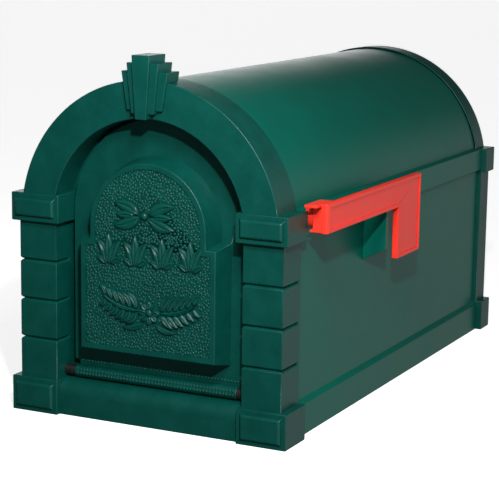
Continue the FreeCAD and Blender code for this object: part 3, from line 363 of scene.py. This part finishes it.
class MAILBOX_OT_finishes(bpy.types.Operator):
    """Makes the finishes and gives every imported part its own"""

    bl_idname = "mailbox.finishes"
    bl_label = "Finishes"

    def execute(self, context):
        sizes = context.scene.mailbox_finish
        # Powder coat over sand-cast aluminium: satin, with the sand's pebbles showing through.
        tree, shader, place = new_material("powder_coat_cast", sizes.green, 0.4, specular=0.3)
        vary(tree, shader, place, sizes.green, 18 * MM, 0.88, 1.12, 0.36, 0.44)
        grain(tree, shader, place, [(sizes.cast_grain, sizes.cast_depth), (9 * MM, 0.05 * MM)])
        # The same coat on rolled sheet and extrusions: smoother, only orange peel. Its green is painted
        # lighter than the castings' to stand in for light on the side walls and roof.
        tree, shader, place = new_material("powder_coat_sheet", sizes.green_sheet, 0.38, specular=0.22)
        vary(tree, shader, place, sizes.green_sheet, 60 * MM, 0.94, 1.06, 0.36, 0.42)
        grain(tree, shader, place, [(sizes.peel_grain, sizes.peel_depth)])
        # Stoved enamel on the cast flag: bright red, a little glossier.
        tree, shader, place = new_material("enamel_red", sizes.red, 0.34, specular=0.35)
        vary(tree, shader, place, sizes.red, 14 * MM, 0.93, 1.07, 0.3, 0.42)
        grain(tree, shader, place, [(2.0 * MM, 0.03 * MM)])
        # Nylon, moulded black: waxy, with a faint flow pattern.
        tree, shader, place = new_material("nylon_moulded", linear("#161617"), 0.5)
        vary(tree, shader, place, linear("#161617"), 3 * MM, 0.9, 1.2, 0.45, 0.55)
        # ABS, moulded black: fine spark-eroded grain.
        tree, shader, place = new_material("abs_black", linear("#1B1B1C"), 0.5)
        vary(tree, shader, place, linear("#1B1B1C"), 5 * MM, 0.9, 1.15, 0.45, 0.6)
        grain(tree, shader, place, [(0.6 * MM, 0.02 * MM)])
        # Ferrite magnet, sintered and ground: dull dark grey with fine pores.
        tree, shader, place = new_material("ferrite_sintered", linear("#3A3A3D"), 0.6)
        vary(tree, shader, place, linear("#3A3A3D"), 1.2 * MM, 0.8, 1.2, 0.5, 0.7)
        # Nitrile rubber buttons: matt black with a slight bloom.
        tree, shader, place = new_material("rubber_black", linear("#202020"), 0.75)
        vary(tree, shader, place, linear("#202020"), 4 * MM, 0.85, 1.3, 0.68, 0.85)
        # Aluminium rivets, as drawn: bright satin with fine scratches.
        tree, shader, place = new_material("aluminium_drawn", linear("#B9BBBD"), 0.35, 1.0)
        vary(tree, shader, place, linear("#B9BBBD"), 1.5 * MM, 0.88, 1.08, 0.28, 0.45)
        # Stainless steel, cold headed: satin grey.
        tree, shader, place = new_material("stainless_satin", linear("#A9A8A4"), 0.35, 1.0)
        vary(tree, shader, place, linear("#A9A8A4"), 2 * MM, 0.85, 1.1, 0.28, 0.45)
        finishes = {"green_casting": "powder_coat_cast", "green_sheet": "powder_coat_sheet",
                    "flag_red": "enamel_red", "nylon": "nylon_moulded", "black_plastic": "abs_black",
                    "magnet": "ferrite_sintered", "rubber": "rubber_black",
                    "rivet_aluminium": "aluminium_drawn", "stainless": "stainless_satin"}
        for row in frame["record"]["subparts"]:
            mesh = NODES[row["node"]].data
            mesh.materials.clear()
            mesh.materials.append(bpy.data.materials[finishes[row["material_slot"]]])
        return {"FINISHED"}


# ---------------------------------------------------------------- rounded castings and sheets

def face_depth(face, edge):
    """How far a face reaches from one of its edges."""
    start = edge.verts[0].co
    along = (edge.verts[1].co - start).normalized()
    reach = 0.0
    for vert in face.verts:
        offset = vert.co - start
        reach = max(reach, (offset - along * offset.dot(along)).length)
    return reach


def keep_normals(mesh, source):
    """Give a rounded mesh the source's own normals wherever it still lies on the source's faces."""
    source.calc_loop_triangles()
    triangles = [tuple(item.loops) for item in source.loop_triangles]
    places = [vert.co for vert in source.vertices]
    spots = [[places[source.loops[loop].vertex_index] for loop in item] for item in triangles]
    given = [Vector(item.vector) for item in source.corner_normals]
    finder = BVHTree.FromPolygons(places, [tuple(item.vertices) for item in source.loop_triangles])
    normals = [Vector(item.vector) for item in mesh.corner_normals]
    probe_step = 0.03 * MM
    same_facing = 0.97
    settled = {}
    waiting = []
    for face in mesh.polygons:
        loops = list(face.loop_indices)
        corners = [mesh.loops[loop].vertex_index for loop in loops]
        for turn, loop in enumerate(loops):
            here = mesh.vertices[corners[turn]].co
            before = (here - mesh.vertices[corners[turn - 1]].co).normalized()
            after = (mesh.vertices[corners[(turn + 1) % len(loops)]].co - here).normalized()
            inward = face.normal.cross(before + after).normalized()
            spot, way, index, gap = finder.find_nearest(here + inward * probe_step)
            if gap > probe_step or way.dot(face.normal) < same_facing:
                waiting.append((loop, corners[turn], face.normal.copy()))
                continue
            normals[loop] = barycentric_transform(
                spot, *spots[index], *(given[item] for item in triangles[index])).normalized()
            settled.setdefault(corners[turn], []).append(normals[loop])
    for loop, corner, facing in waiting:
        if corner in settled:
            normals[loop] = max(settled[corner], key=facing.dot)
    mesh.normals_split_custom_set(normals)


def round_edges(name, node, radius, turn=40.0):
    """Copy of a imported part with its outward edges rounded."""
    weld = 0.002 * MM
    shortest = 0.05 * MM
    room = 2.2 * radius
    bm = bmesh.new()
    bm.from_mesh(NODES[node].data)
    bmesh.ops.remove_doubles(bm, verts=bm.verts, dist=weld)
    bmesh.ops.dissolve_limit(bm, angle_limit=math.radians(0.5), verts=bm.verts, edges=bm.edges)
    bmesh.ops.join_triangles(bm, faces=bm.faces, angle_face_threshold=math.radians(8.0),
                             angle_shape_threshold=math.radians(180.0))
    bm.normal_update()
    chosen = []
    for edge in bm.edges:
        if len(edge.link_faces) != 2 or edge.calc_length() < shortest:
            continue
        if edge.calc_face_angle_signed() < math.radians(turn):
            continue
        if min(face_depth(face, edge) for face in edge.link_faces) > room:
            chosen.append(edge)
    bmesh.ops.bevel(bm, geom=chosen, offset=radius, offset_type="OFFSET", segments=2, profile=0.5,
                    affect="EDGES", clamp_overlap=False, miter_outer="SHARP")
    bmesh.ops.remove_doubles(bm, verts=bm.verts, dist=weld)
    mesh = bpy.data.meshes.new(name)
    bm.to_mesh(mesh)
    bm.free()
    mesh.shade_smooth()
    mesh.set_sharp_from_angle(angle=math.radians(48.0))
    keep_normals(mesh, NODES[node].data)
    return mesh


class MAILBOX_OT_castings(bpy.types.Operator):
    """Front frame, keystone, rear frame and door with the soft edges of a coated casting"""

    bl_idname = "mailbox.castings"
    bl_label = "Castings"

    def execute(self, context):
        sizes = context.scene.mailbox_edge
        for node, radius, body in (("front_frame", sizes.casting, "mailbox"),
                                   ("keystone", sizes.fine, "mailbox"),
                                   ("rear_frame", sizes.casting, "mailbox"),
                                   ("door", sizes.casting, "door")):
            name = "cast_" + node
            mesh = round_edges(name, node, radius)
            piece = new_piece(name, mesh, "powder_coat_cast", body)
            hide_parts(node)
        return {"FINISHED"}


class MAILBOX_OT_sheets(bpy.types.Operator):
    """Side extrusions and flag rest with their edges eased"""

    bl_idname = "mailbox.sheets"
    bl_label = "Sheets"

    def execute(self, context):
        sizes = context.scene.mailbox_edge
        for node in ("side_panel_left", "side_panel_right", "flag_rest"):
            name = "coated_" + node
            # The sheet coat carries painted light: its green is lighter than the castings' to stand in for
            # light.
            piece = new_piece(name, round_edges(name, node, sizes.sheet), "powder_coat_sheet",
                              "mailbox")
            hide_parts(node)
        return {"FINISHED"}


class MAILBOX_OT_flag(bpy.types.Operator):
    """Red flag with its raised rim and eased edges"""

    bl_idname = "mailbox.flag"
    bl_label = "Flag"

    def execute(self, context):
        mesh = round_edges("enamelled_flag", "flag", context.scene.mailbox_edge.fine)
        piece = new_piece("enamelled_flag", mesh, "enamel_red", "flag")
        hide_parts("flag")
        return {"FINISHED"}


# ---------------------------------------------------------------- plaque

def add_leaf(bm, root, tip, width, height, bend, level):
    """Closed leaf in relief: veined, pointed at both ends, standing out toward -Y from the level."""
    root = Vector(root)
    tip = Vector(tip)
    along = tip - root
    across = Vector((-along.y, along.x)).normalized()
    steps = 10
    lanes = 6
    rows = []
    for step in range(steps + 1):
        part = step / steps
        middle = root + along * part + across * (bend * 4.0 * part * (1.0 - part))
        half = width / 2.0 * max(0.04, math.sin(math.pi * part ** 0.8)) ** 0.7
        row = []
        for lane in range(lanes + 1):
            side = 2.0 * lane / lanes - 1.0
            spot = middle + across * (half * side)
            swell = 1.0 - 0.35 * side * side
            if lane == lanes // 2:
                swell = 0.62
            rise = height * swell * min(1.0, 0.45 + 2.2 * math.sin(math.pi * part))
            row.append(bm.verts.new((spot.x, level - rise, spot.y)))
        rows.append(row)
    for low, high in zip(rows, rows[1:]):
        for lane in range(lanes):
            bm.faces.new((low[lane], low[lane + 1], high[lane + 1], high[lane]))
    rim = rows[0] + [row[-1] for row in rows[1:-1]] + rows[-1][::-1] + [row[0] for row in rows[-2:0:-1]]
    foot = [bm.verts.new((vert.co.x, level + 0.3 * MM, vert.co.z)) for vert in rim]
    for place, vert in enumerate(rim):
        following = (place + 1) % len(rim)
        bm.faces.new((vert, rim[following], foot[following], foot[place]))
    bm.faces.new(foot)


def add_dome(bm, x, z, radius, height, level, sides=16):
    """Closed round boss standing out toward -Y from the level."""
    rings = [(radius, -0.3 * MM), (radius, 0.25 * height), (0.78 * radius, 0.72 * height),
             (0.4 * radius, height)]
    loops = []
    for reach, rise in rings:
        loops.append([bm.verts.new((x + reach * math.cos(2.0 * math.pi * step / sides), level - rise,
                                    z + reach * math.sin(2.0 * math.pi * step / sides)))
                      for step in range(sides)])
    for low, high in zip(loops, loops[1:]):
        for step in range(sides):
            following = (step + 1) % sides
            bm.faces.new((low[step], low[following], high[following], high[step]))
    bm.faces.new(loops[0])
    bm.faces.new(loops[-1])


def leaf_relief(level, height):
    """Leaf ornament of three rows: paired sprigs, four palmettes, and a rosette with two sprays."""
    bm = bmesh.new()

    def leaf(x0, z0, x1, z1, width, bend=0.0, rise=1.0):
        add_leaf(bm, (x0 * MM, z0 * MM), (x1 * MM, z1 * MM), width * MM, height * rise, bend * MM, level)

    def dome(x, z, radius, rise=1.0):
        add_dome(bm, x * MM, z * MM, radius * MM, height * rise, level)

    # upper row: two sprigs that spread from a bead
    middle = -3.0
    dome(middle, 165.0, 3.4)
    for side in (-1, 1):
        leaf(middle + 5.0 * side, 166.5, middle + 29.0 * side, 175.0, 9.5, 2.0 * side)
        leaf(middle + 5.0 * side, 163.5, middle + 29.0 * side, 155.0, 9.5, -2.0 * side)
        leaf(middle + 9.0 * side, 165.0, middle + 27.0 * side, 165.0, 6.5)
    # middle row: four palmettes
    for centre in (-37.5, -11.5, 14.5, 41.5):
        leaf(centre, 122.0, centre, 147.0, 8.5)
        for side in (-1, 1):
            leaf(centre + 1.5 * side, 121.5, centre + 11.0 * side, 141.5, 8.5, 2.4 * side)
            leaf(centre + 2.5 * side, 121.5, centre + 11.5 * side, 127.0, 5.5, 0.8 * side, 0.9)
    # lower row: rosette and two sprays that rise outward
    middle = 2.5
    for petal in range(8):
        turn = math.pi / 4.0 * petal
        leaf(middle + 3.0 * math.cos(turn), 82.0 + 3.0 * math.sin(turn),
             middle + 10.5 * math.cos(turn), 82.0 + 10.5 * math.sin(turn), 6.0)
    dome(middle, 82.0, 3.6, 1.2)
    for side in (-1, 1):
        leaf(middle + 9.0 * side, 83.0, middle + 47.0 * side, 95.0, 3.6, -4.0 * side, 0.8)
        for step in range(6):
            reach = 12.0 + 6.2 * step
            stem = 82.5 + 0.06 * step * step * 6.0
            long = 13.0 - 1.1 * step
            leaf(middle + reach * side, stem + 2.0, middle + (reach + 0.75 * long) * side,
                 stem + 3.0 + long, 6.0 - 0.3 * step, 1.6 * side)
            leaf(middle + reach * side, stem - 1.5, middle + (reach + 0.9 * long) * side,
                 stem - 2.0 - 0.75 * long, 5.6 - 0.3 * step, -1.6 * side)
        leaf(middle + 6.0 * side, 72.0, middle + 26.0 * side, 67.0, 4.6, -2.2 * side, 0.8)
    return mesh_of("leaf_relief", bm)


def field_mesh(sizes, level):
    """Outline of the plaque's sunk field as one flat face that looks toward -Y."""
    corners = [(-sizes.half_width, sizes.foot), (sizes.half_width, sizes.foot),
               (sizes.half_width, sizes.shoulder), (sizes.crown_radius, sizes.shoulder)]
    for step in range(33):
        turn = math.pi * step / 32
        corners.append((sizes.crown_radius * math.cos(turn),
                        sizes.centre + sizes.crown_radius * math.sin(turn)))
    corners += [(-sizes.crown_radius, sizes.shoulder), (-sizes.half_width, sizes.shoulder)]
    mesh = bpy.data.meshes.new("field")
    mesh.from_pydata([(x, level, z) for x, z in corners], [], [list(range(len(corners)))])
    return mesh


def stipple_tree():
    """Tree that strews grains over a face and leaves the relief bare."""
    tree, given = new_tree("stipple", [
        ("Pitch", "NodeSocketFloat"), ("Grain", "NodeSocketObject"), ("Relief", "NodeSocketObject"),
        ("Margin", "NodeSocketFloat"), ("Radius", "NodeSocketFloat"), ("Height", "NodeSocketFloat"),
        ("Seed", "NodeSocketInt"), ("Material", "NodeSocketMaterial")])
    strewn = add_node(tree, "GeometryNodeDistributePointsOnFaces", {
        "Mesh": given.outputs["Geometry"], "Distance Min": given.outputs["Pitch"], "Density Max": 9.0e5,
        "Seed": given.outputs["Seed"]}, distribute_method="POISSON")
    relief = add_node(tree, "GeometryNodeObjectInfo", {"Object": given.outputs["Relief"]})
    near = add_node(tree, "GeometryNodeProximity", {"Geometry": relief.outputs["Geometry"]},
                    target_element="FACES")
    close = add_node(tree, "FunctionNodeCompare", {"A": near.outputs["Distance"],
                                                   "B": given.outputs["Margin"]},
                     data_type="FLOAT", operation="LESS_THAN")
    kept = add_node(tree, "GeometryNodeDeleteGeometry", {"Geometry": strewn.outputs["Points"],
                                                         "Selection": close.outputs["Result"]},
                    domain="POINT")
    grain_shape = add_node(tree, "GeometryNodeObjectInfo", {"Object": given.outputs["Grain"]})
    spread = add_node(tree, "FunctionNodeRandomValue", {"Seed": given.outputs["Seed"]}, data_type="FLOAT")
    spread.inputs[2].default_value = 0.7
    spread.inputs[3].default_value = 1.12
    size = add_node(tree, "ShaderNodeCombineXYZ", {"X": given.outputs["Radius"],
                                                   "Y": given.outputs["Height"],
                                                   "Z": given.outputs["Radius"]})
    scaled = add_node(tree, "ShaderNodeVectorMath", {0: size.outputs["Vector"],
                                                     "Scale": spread.outputs[1]}, operation="SCALE")
    copies = add_node(tree, "GeometryNodeInstanceOnPoints", {
        "Points": kept.outputs["Geometry"], "Instance": grain_shape.outputs["Geometry"],
        "Scale": scaled.outputs["Vector"]})
    close_tree(tree, copies.outputs["Instances"], given.outputs["Material"])
    return tree


def grain_dome(name):
    """Low dome of unit size that stands out toward -Y."""
    mesh = lathe(name, [(1.0, -0.4), (0.97, 0.1), (0.78, 0.56), (0.45, 0.88), (0.12, 1.0)], 10, 80.0)
    mesh.transform(Matrix.Rotation(math.radians(90.0), 4, "X"))
    return mesh


class MAILBOX_OT_plaque(bpy.types.Operator):
    """Leaf relief and stippled ground of the door's plaque"""

    bl_idname = "mailbox.plaque"
    bl_label = "Plaque"

    def execute(self, context):
        sizes = context.scene.mailbox_plaque
        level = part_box("door")[0][1] + sizes.sunk
        relief = new_piece("leaf_relief", leaf_relief(level, sizes.relief), "powder_coat_cast",
                           "door")
        pebble = pattern_object("pebble", grain_dome("pebble"))
        mesh = grow("plaque_stipple", field_mesh(sizes, level), stipple_tree(), {
            "Pitch": sizes.pitch, "Grain": pebble, "Relief": relief, "Margin": sizes.margin,
            "Radius": sizes.grain_radius, "Height": sizes.grain_height, "Seed": sizes.seed,
            "Material": bpy.data.materials["powder_coat_cast"]})
        bpy.data.objects.remove(pebble)
        mesh.shade_smooth()
        new_piece("plaque_stipple", mesh, None, "door")
        return {"FINISHED"}


# ---------------------------------------------------------------- beads

def bead_tree():
    """Tree that sets beads at an even pitch along the edges of a mesh."""
    tree, given = new_tree("beads", [("Pitch", "NodeSocketFloat"), ("Bead", "NodeSocketObject"),
                                     ("Radius", "NodeSocketFloat"), ("Height", "NodeSocketFloat"),
                                     ("Material", "NodeSocketMaterial")])
    path = add_node(tree, "GeometryNodeMeshToCurve", {"Mesh": given.outputs["Geometry"]})
    even = add_node(tree, "GeometryNodeResampleCurve", {"Curve": path.outputs["Curve"],
                                                        "Length": given.outputs["Pitch"]}, mode="LENGTH")
    spots = add_node(tree, "GeometryNodeCurveToPoints", {"Curve": even.outputs["Curve"]},
                     mode="EVALUATED")
    bead = add_node(tree, "GeometryNodeObjectInfo", {"Object": given.outputs["Bead"]})
    size = add_node(tree, "ShaderNodeCombineXYZ", {"X": given.outputs["Radius"],
                                                   "Y": given.outputs["Height"],
                                                   "Z": given.outputs["Radius"]})
    copies = add_node(tree, "GeometryNodeInstanceOnPoints", {
        "Points": spots.outputs["Points"], "Instance": bead.outputs["Geometry"],
        "Scale": size.outputs["Vector"]})
    close_tree(tree, copies.outputs["Instances"], given.outputs["Material"])
    return tree


class MAILBOX_OT_beads(bpy.types.Operator):
    """Three rows of beads along the foot of the door"""

    bl_idname = "mailbox.beads"
    bl_label = "Beads"

    def execute(self, context):
        sizes = context.scene.mailbox_bead
        pin_low, pin_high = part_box("hinge_pin_left")
        pivot_y = (pin_low[1] + pin_high[1]) / 2.0
        pivot_z = (pin_low[2] + pin_high[2]) / 2.0
        barrel = 5.5 * MM
        plate_thick = 4.0 * MM
        rows = [(sizes.plate_height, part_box("door")[1][1] - plate_thick)]
        for height in (sizes.barrel_height, sizes.foot_height):
            rise = height - pivot_z
            rows.append((height, pivot_y - math.sqrt(barrel * barrel - rise * rise)))
        points = []
        for height, level in rows:
            points += [(-sizes.half_length, level, height), (sizes.half_length, level, height)]
        bead = pattern_object("bead", grain_dome("bead"))
        mesh = grow("door_beads", points_mesh("rows", points, [(0, 1), (2, 3), (4, 5)]), bead_tree(), {
            "Pitch": sizes.pitch, "Bead": bead, "Radius": sizes.bead_radius, "Height": sizes.bead_height,
            "Material": bpy.data.materials["powder_coat_cast"]})
        bpy.data.objects.remove(bead)
        mesh.shade_smooth()
        new_piece("door_beads", mesh, None, "door")
        return {"FINISHED"}


# ---------------------------------------------------------------- fasteners

def fastener_tree():
    """Tree that sets one fastener on every point, turned the same way."""
    tree, given = new_tree("fasteners", [("Fastener", "NodeSocketObject"), ("Turn", "NodeSocketRotation"),
                                         ("Material", "NodeSocketMaterial")])
    spots = add_node(tree, "GeometryNodeMeshToPoints", {"Mesh": given.outputs["Geometry"]})
    shape = add_node(tree, "GeometryNodeObjectInfo", {"Object": given.outputs["Fastener"]})
    copies = add_node(tree, "GeometryNodeInstanceOnPoints", {
        "Points": spots.outputs["Points"], "Instance": shape.outputs["Geometry"],
        "Rotation": given.outputs["Turn"]})
    close_tree(tree, copies.outputs["Instances"], given.outputs["Material"])
    return tree


def set_fasteners(name, mesh, turn, nodes, spots, material):
    """One piece with a fastener on every spot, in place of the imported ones."""
    shape = pattern_object(name + "_shape", mesh)
    grown = grow(name, points_mesh(name + "_spots", spots), bpy.data.node_groups["fasteners"], {
        "Fastener": shape, "Turn": turn, "Material": bpy.data.materials[material]})
    bpy.data.objects.remove(shape)
    piece = new_piece(name, grown, None, "mailbox")
    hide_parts(*nodes)


def box_middle(node, y=None, z=None):
    """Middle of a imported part, with one end of it where y or z is 0 or 1."""
    low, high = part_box(node)
    spot = [(low[axis] + high[axis]) / 2.0 for axis in range(3)]
    if y is not None:
        spot[1] = (low, high)[y][1]
    if z is not None:
        spot[2] = (low, high)[z][2]
    return spot


def screw_mesh(sizes, shank):
    """Button head with a hexagon socket on a plain shank, the head's seat at 0 and its top at +Z."""
    top = sizes.head_height
    return lathe("button_screw", [
        (2.0 * MM, -shank), (2.0 * MM, 0.0), (sizes.head_radius, 0.0), (sizes.head_radius, 0.35 * top),
        (0.86 * sizes.head_radius, 0.75 * top), (0.6 * sizes.head_radius, top),
        (sizes.socket, top, "hex"), (sizes.socket, 0.4 * top, "hex")], 24)


class MAILBOX_OT_fasteners(bpy.types.Operator):
    """Domed rivets, chamfered nuts and socket screws"""

    bl_idname = "mailbox.fasteners"
    bl_label = "Fasteners"

    def execute(self, context):
        sizes = context.scene.mailbox_fastener
        fastener_tree()
        outward = (-math.pi / 2.0, 0.0, 0.0)
        rivets = ["rear_rivet_%d" % step for step in (1, 2, 3, 4)]
        radius = sizes.rivet_radius
        dome = sizes.rivet_dome
        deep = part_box(rivets[0])[1][1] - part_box(rivets[0])[0][1]
        tail = deep - dome
        mesh = lathe("domed_rivet", [
            (1.6 * MM, -tail), (2.6 * MM, -tail + 0.3 * MM), (2.8 * MM, -tail + dome),
            (2.0 * MM, -tail + dome), (2.0 * MM, 0.0), (radius, 0.0), (radius, 0.2 * dome),
            (0.86 * radius, 0.62 * dome), (0.55 * radius, 0.9 * dome), (0.2 * radius, dome)], 24)
        spots = [box_middle(node, y=1) for node in rivets]
        for spot in spots:
            spot[1] -= dome
        set_fasteners("domed_rivets", mesh, outward, rivets, spots, "aluminium_drawn")
        nuts = [node for node in NODES if node.startswith("tie_nut")]
        half = sizes.nut_flats / 2.0
        tall = sizes.nut_height
        cut = 0.4 * MM
        mesh = lathe("chamfered_nut", [
            (sizes.nut_bore, 0.0), (half - 0.2 * MM, 0.0), (half, cut, "hex"), (half, tall - cut, "hex"),
            (half - 0.2 * MM, tall), (sizes.nut_bore, tall)], 36)
        set_fasteners("tie_rod_nuts", mesh, outward, nuts, [box_middle(node, y=0) for node in nuts],
                      "stainless_satin")
        screws = [node for node in NODES if node.startswith("floor_screw")]
        low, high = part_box(screws[0])
        shank = high[2] - low[2] - sizes.head_height
        spots = [box_middle(node, z=0) for node in screws]
        for spot in spots:
            spot[2] += sizes.head_height
        set_fasteners("floor_screws", screw_mesh(sizes, shank), (math.pi, 0.0, 0.0), screws, spots,
                      "stainless_satin")
        return {"FINISHED"}


# ---------------------------------------------------------------- stage

class MAILBOX_OT_stage(bpy.types.Operator):
    """Camera, lights and floor"""

    bl_idname = "mailbox.stage"
    bl_label = "Stage"

    def execute(self, context):
        scene = context.scene
        sizes = scene.mailbox_stage
        turn, rise, roll = sizes.azimuth, sizes.elevation, sizes.roll
        back = Vector((math.sin(turn) * math.cos(rise), -math.cos(turn) * math.cos(rise), math.sin(rise)))
        right = (-back).cross(Vector((0.0, 0.0, 1.0))).normalized()
        up = right.cross(-back)
        across = math.cos(roll) * right + math.sin(roll) * up
        upward = -math.sin(roll) * right + math.cos(roll) * up
        lens = bpy.data.cameras.new("camera")
        lens.lens = sizes.lens
        lens.sensor_width = 36.0
        camera = bpy.data.objects.new("camera", lens)
        scene.collection.objects.link(camera)
        place = sizes.place
        camera.matrix_world = Matrix(((across.x, upward.x, back.x, place[0]),
                                      (across.y, upward.y, back.y, place[1]),
                                      (across.z, upward.z, back.z, place[2]), (0.0, 0.0, 0.0, 1.0)))
        scene.camera = camera
        level = CAD_BOX[0][2]
        reach = 30.0
        mesh = bpy.data.meshes.new("floor")
        mesh.from_pydata([(-reach, -reach, level), (reach, -reach, level), (reach, reach, level),
                          (-reach, reach, level)], [], [(0, 1, 2, 3)])
        floor = bpy.data.objects.new("floor", mesh)
        scene.collection.objects.link(floor)
        # Matt white paper, lit from below as well, so it stays plain and throws no colour on the object.
        tree, shader, _ = new_material("paper_white", (0.88, 0.88, 0.88), 0.95, specular=0.1)
        shader.inputs["Emission Color"].default_value = (1.0, 1.0, 1.0, 1.0)
        shader.inputs["Emission Strength"].default_value = 0.8
        mesh.materials.append(bpy.data.materials["paper_white"])
        floor.visible_diffuse = False
        floor.visible_glossy = False
        toward = Vector((math.sin(sizes.key_turn) * math.cos(sizes.key_height),
                         -math.cos(sizes.key_turn) * math.cos(sizes.key_height),
                         math.sin(sizes.key_height)))
        aim = Vector((0.0, CAD_BOX[0][1], (CAD_BOX[0][2] + CAD_BOX[1][2]) / 2.0))
        crest = Vector((0.0, CAD_BOX[0][1], CAD_BOX[1][2]))
        for name, power, width, place, target in (
                ("key", sizes.key_power, sizes.key_width, aim + toward * sizes.key_far, aim),
                ("brow", sizes.brow_power, sizes.brow_width, Vector(sizes.brow_place), crest)):
            lamp = bpy.data.lights.new(name, "AREA")
            lamp.shape = "DISK"
            lamp.energy = power
            lamp.size = width
            light = bpy.data.objects.new(name, lamp)
            scene.collection.objects.link(light)
            light.location = place
            light.rotation_mode = "QUATERNION"
            light.rotation_quaternion = (place - target).to_track_quat("Z", "Y")
        world = bpy.data.worlds.new("world")
        scene.world = world
        world.use_nodes = True
        tree = world.node_tree
        ray = add_node(tree, "ShaderNodeTexCoord").outputs["Generated"]
        way = add_node(tree, "ShaderNodeSeparateXYZ", {"Vector": ray})

        def fade(axis, start, end):
            """Smooth step from 0 at start to 1 at end along one axis of the ray."""
            return add_node(tree, "ShaderNodeMapRange", {
                "Value": way.outputs[axis], "From Min": start, "From Max": end},
                interpolation_type="SMOOTHSTEP").outputs["Result"]

        def times(one, other):
            """Product of two sockets."""
            return add_node(tree, "ShaderNodeMath", {0: one, 1: other},
                            operation="MULTIPLY").outputs["Value"]

        # A low bright band behind on the left, for the roof's crest, and a soft one beside the flag.
        low = times(fade("Z", 0.32, 0.14), fade("Z", -0.1, 0.02))
        behind = times(times(low, fade("X", -0.22, -0.4)), fade("Y", -0.3, 0.3))
        beside = times(fade("Z", 0.3, 0.1), fade("X", 0.05, 0.4))
        glow = add_node(tree, "ShaderNodeMath", {0: behind, 1: sizes.backdrop, 2: sizes.fill},
                        operation="MULTIPLY_ADD").outputs["Value"]
        glow = add_node(tree, "ShaderNodeMath", {0: beside, 1: sizes.side_glow, 2: glow},
                        operation="MULTIPLY_ADD").outputs["Value"]
        sky = tree.nodes["Background"]
        sky.inputs["Color"].default_value = (1.0, 1.0, 1.0, 1.0)
        tree.links.new(glow, sky.inputs["Strength"])
        scene.view_settings.view_transform = "Standard"
        return {"FINISHED"}


# ---------------------------------------------------------------- panel and running

GROUPS = {"mailbox_finish": FinishSizes, "mailbox_edge": EdgeSizes, "mailbox_plaque": PlaqueSizes,
          "mailbox_bead": BeadSizes, "mailbox_fastener": FastenerSizes, "mailbox_stage": StageSizes}
STEPS = (MAILBOX_OT_finishes, MAILBOX_OT_castings, MAILBOX_OT_sheets, MAILBOX_OT_flag, MAILBOX_OT_plaque,
         MAILBOX_OT_beads, MAILBOX_OT_fasteners, MAILBOX_OT_stage)


class MAILBOX_PT_steps(bpy.types.Panel):
    """Lists the steps that build the mailbox's looks."""

    bl_idname = "MAILBOX_PT_steps"
    bl_label = "Mailbox"
    bl_space_type = "VIEW_3D"
    bl_region_type = "UI"
    bl_category = "Mailbox"

    def draw(self, context):
        for step in STEPS:
            self.layout.operator(step.bl_idname)


def register():
    for kind in (*GROUPS.values(), *STEPS, MAILBOX_PT_steps):
        bpy.utils.register_class(kind)
    for name, kind in GROUPS.items():
        setattr(bpy.types.Scene, name, bpy.props.PointerProperty(type=kind))


def unregister():
    for name in GROUPS:
        delattr(bpy.types.Scene, name)
    for kind in reversed((*GROUPS.values(), *STEPS, MAILBOX_PT_steps)):
        bpy.utils.unregister_class(kind)


def main():
    register()
    bpy.ops.mailbox.finishes()
    bpy.ops.mailbox.castings()
    bpy.ops.mailbox.sheets()
    bpy.ops.mailbox.flag()
    bpy.ops.mailbox.plaque()
    bpy.ops.mailbox.beads()
    bpy.ops.mailbox.fasteners()
    bpy.ops.mailbox.stage()


if __name__ == "__main__":
    main()
